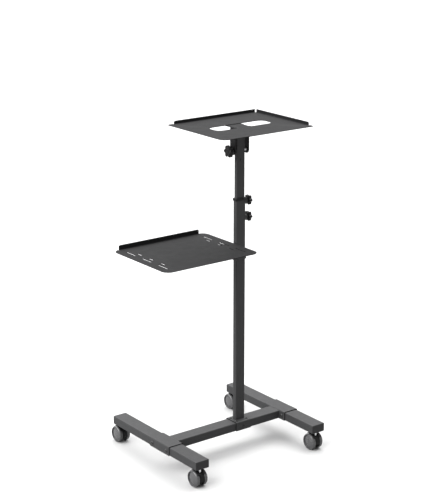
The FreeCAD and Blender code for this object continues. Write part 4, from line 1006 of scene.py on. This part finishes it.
def swept(bm, sec, lo, hi, n, axle):
    """Sweeps a closed (x, radius) section about the axle; angles over from -Y."""
    rows = []
    for k in range(n + 1):
        a = math.radians(lo + (hi - lo) * k / n)
        rows.append([bm.verts.new((axle[0] + x, axle[1] - r * math.cos(a),
                                   axle[2] + r * math.sin(a))) for x, r in sec])
    m = len(sec)
    for a, b in zip(rows, rows[1:]):
        for i in range(m):
            j = (i + 1) % m
            bm.faces.new((a[i], a[j], b[j], b[i]))
    bm.faces.new(list(reversed(rows[0])))
    bm.faces.new(rows[-1])
    return bm


for nm, sx, way in SPOTS:
    px, py = BX + sx * 260.0, LEG_Y + way * 239.0
    axle = (px, py + 12.0, 30.0)
    body = "caster_" + nm

    # hood between the wheels, open from below, with the hole of the stem
    bm = bmesh.new()
    sec = [(-8.5, 11.0), (-8.5, 28.3), (-8.15, 29.15), (-7.3, 29.5), (7.3, 29.5),
           (8.15, 29.15), (8.5, 28.3), (8.5, 11.0), (6.0, 11.0), (6.0, 27.0),
           (-6.0, 27.0), (-6.0, 11.0)]
    swept(bm, sec, -13.5, 193.5, 56, axle)
    hole = bmesh.new()
    lathe(hole, [(0, 40.0), (5.06, 40.0), (5.06, 66.0), (0, 66.0)], 40, "Z", (px, py, 0))
    to_object("CasterHood_" + nm, bm, "caster_black", body, ["caster_hood_" + nm],
              smooth=38, minus=hole)

    # its hub and stem socket
    bm = bmesh.new()
    lathe(bm, [(3.05, -8.5), (11.8, -8.5), (12.3, -8.0), (12.3, 8.0), (11.8, 8.5),
               (3.05, 8.5), (3.05, -8.5)], 40, "X", axle)
    lathe(bm, [(5.06, 42.4), (7.9, 42.4), (7.9, 54.0), (5.06, 55.5), (5.06, 42.4)],
          40, "Z", (px, py, 0))
    to_object("CasterHub_" + nm, bm, "caster_black", body, smooth=38)

    # a fender over the inner part of each tread, on a low wall
    for fs, s in (("left", -1), ("right", 1)):
        bm = bmesh.new()
        sec = [(7.0, 28.0), (7.0, 32.4), (7.3, 33.1), (8.0, 33.4), (17.2, 33.4),
               (17.75, 33.2), (18.0, 32.7), (18.0, 31.9), (8.5, 31.9), (8.5, 28.0)]
        if s < 0:
            sec = [(-x, r) for x, r in reversed(sec)]
        swept(bm, sec, 37.0, 112.0, 26, axle)
        to_object("CasterFender_%s_%s" % (nm, fs), bm, "caster_black", body,
                  bevel=0.35, angle=60, smooth=38)

    # axle pin, its ends inside the closed wheels
    bm = bmesh.new()
    lathe(bm, [(0, -19.9), (2.4, -19.9), (3.0, -19.3), (3.0, 19.3), (2.4, 19.9), (0, 19.9)],
          28, "X", axle)
    to_object("CasterAxle_" + nm, bm, "zinc_steel", body, ["caster_axle_" + nm])

    for wside, ws in (("left", -1), ("right", 1)):
        bm = bmesh.new()
        prof = [(3.05, 0.0), (9.3, 0.0), (9.6, 0.3), (10.4, 5.0), (25.0, 5.0), (25.9, 0.3),
                (26.2, 0.0), (27.8, 0.0), (28.7, 0.2), (29.5, 0.8), (29.9, 1.5), (30.0, 2.4),
                (30.0, 8.2), (29.9, 9.0), (29.4, 10.0), (28.4, 11.6), (27.7, 12.4),
                (27.0, 12.85), (26.2, 13.0), (25.6, 12.85), (25.1, 12.2), (24.8, 9.6),
                (24.4, 8.6), (23.9, 8.45), (22.5, 8.95), (20.0, 9.9), (17.0, 10.8),
                (13.5, 11.55), (9.0, 12.15), (4.5, 12.38), (0, 12.4), (0, 10.4), (3.05, 10.4),
                (3.05, 0.0)]
        lathe(bm, prof, 72, "X", (0, 0, 0), flip=ws < 0)
        bm.transform(Matrix.Translation((px + ws * 10.0, py + 12.0, 30.0)))
        to_object("CasterWheel_%s_%s" % (nm, wside), bm, "caster_grey",
                  "caster_wheel_%s_%s" % (nm, wside),
                  ["caster_wheel_%s_%s" % (nm, wside)], smooth=32)


# ------------------------------------------------------------ floor and light
def plain(name, color, rough):
    m = bpy.data.materials.new(name)
    m.use_nodes = True
    b = m.node_tree.nodes["Principled BSDF"]
    b.inputs["Base Color"].default_value = (*color, 1)
    b.inputs["Roughness"].default_value = rough
    b.inputs["Specular IOR Level"].default_value = 0.2
    return m


bm = bmesh.new()
vs = [bm.verts.new((x, y, 0)) for x, y in ((-60, -60), (60, -60), (60, 60), (-60, 60))]
bm.faces.new(vs)
me = bpy.data.meshes.new("Floor")
bm.to_mesh(me)
bm.free()
floor = bpy.data.objects.new("Floor", me)
bpy.context.scene.collection.objects.link(floor)
me.materials.append(plain("floor_pale", (0.25, 0.25, 0.25), 0.8))
floor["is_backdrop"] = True


def sun(name, azimuth, elevation, strength, spread):
    """Large soft source; azimuth 0 comes from -Y, 90 from +X."""
    l = bpy.data.lights.new(name, "SUN")
    l.energy = strength
    l.angle = math.radians(spread)
    o = bpy.data.objects.new(name, l)
    bpy.context.scene.collection.objects.link(o)
    a, e = math.radians(azimuth), math.radians(elevation)
    back = Vector((math.sin(a) * math.cos(e), -math.cos(a) * math.cos(e), math.sin(e)))
    o.location = back * 6.0
    o.rotation_mode = "QUATERNION"
    o.rotation_quaternion = (-back).to_track_quat("-Z", "Y")
    return o


sun("Left", -95.0, 38.0, 8.4, 60.0)
sun("Rear", 180.0, 62.0, 5.4, 60.0)
sun("Right", 95.0, 62.0, 5.4, 60.0)

w = bpy.data.worlds.new("Studio")
bpy.context.scene.world = w
w.use_nodes = True
w.node_tree.nodes["Background"].inputs["Color"].default_value = (1, 1, 1, 1)
w.node_tree.nodes["Background"].inputs["Strength"].default_value = 0.8
bpy.context.scene.view_settings.view_transform = "Standard"

# --------------------------------------------------------------------- camera
cam = bpy.data.objects.new("Camera", bpy.data.cameras.new("Camera"))
bpy.context.scene.collection.objects.link(cam)
cam.location = (-2.96858, -4.00113, 2.22303)
yaw, pitch = math.radians(36.9849), math.radians(16.3861)
look = Vector((math.sin(yaw) * math.cos(pitch), math.cos(yaw) * math.cos(pitch),
               -math.sin(pitch)))
cam.rotation_mode = "QUATERNION"
cam.rotation_quaternion = look.to_track_quat("-Z", "Y")
cam.data.sensor_width = 36.0
cam.data.lens = 1480.705 * 36.0 / 495.0
cam.data.clip_start = 0.1
cam.data.clip_end = 200.0
bpy.context.scene.camera = cam

lo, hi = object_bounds()
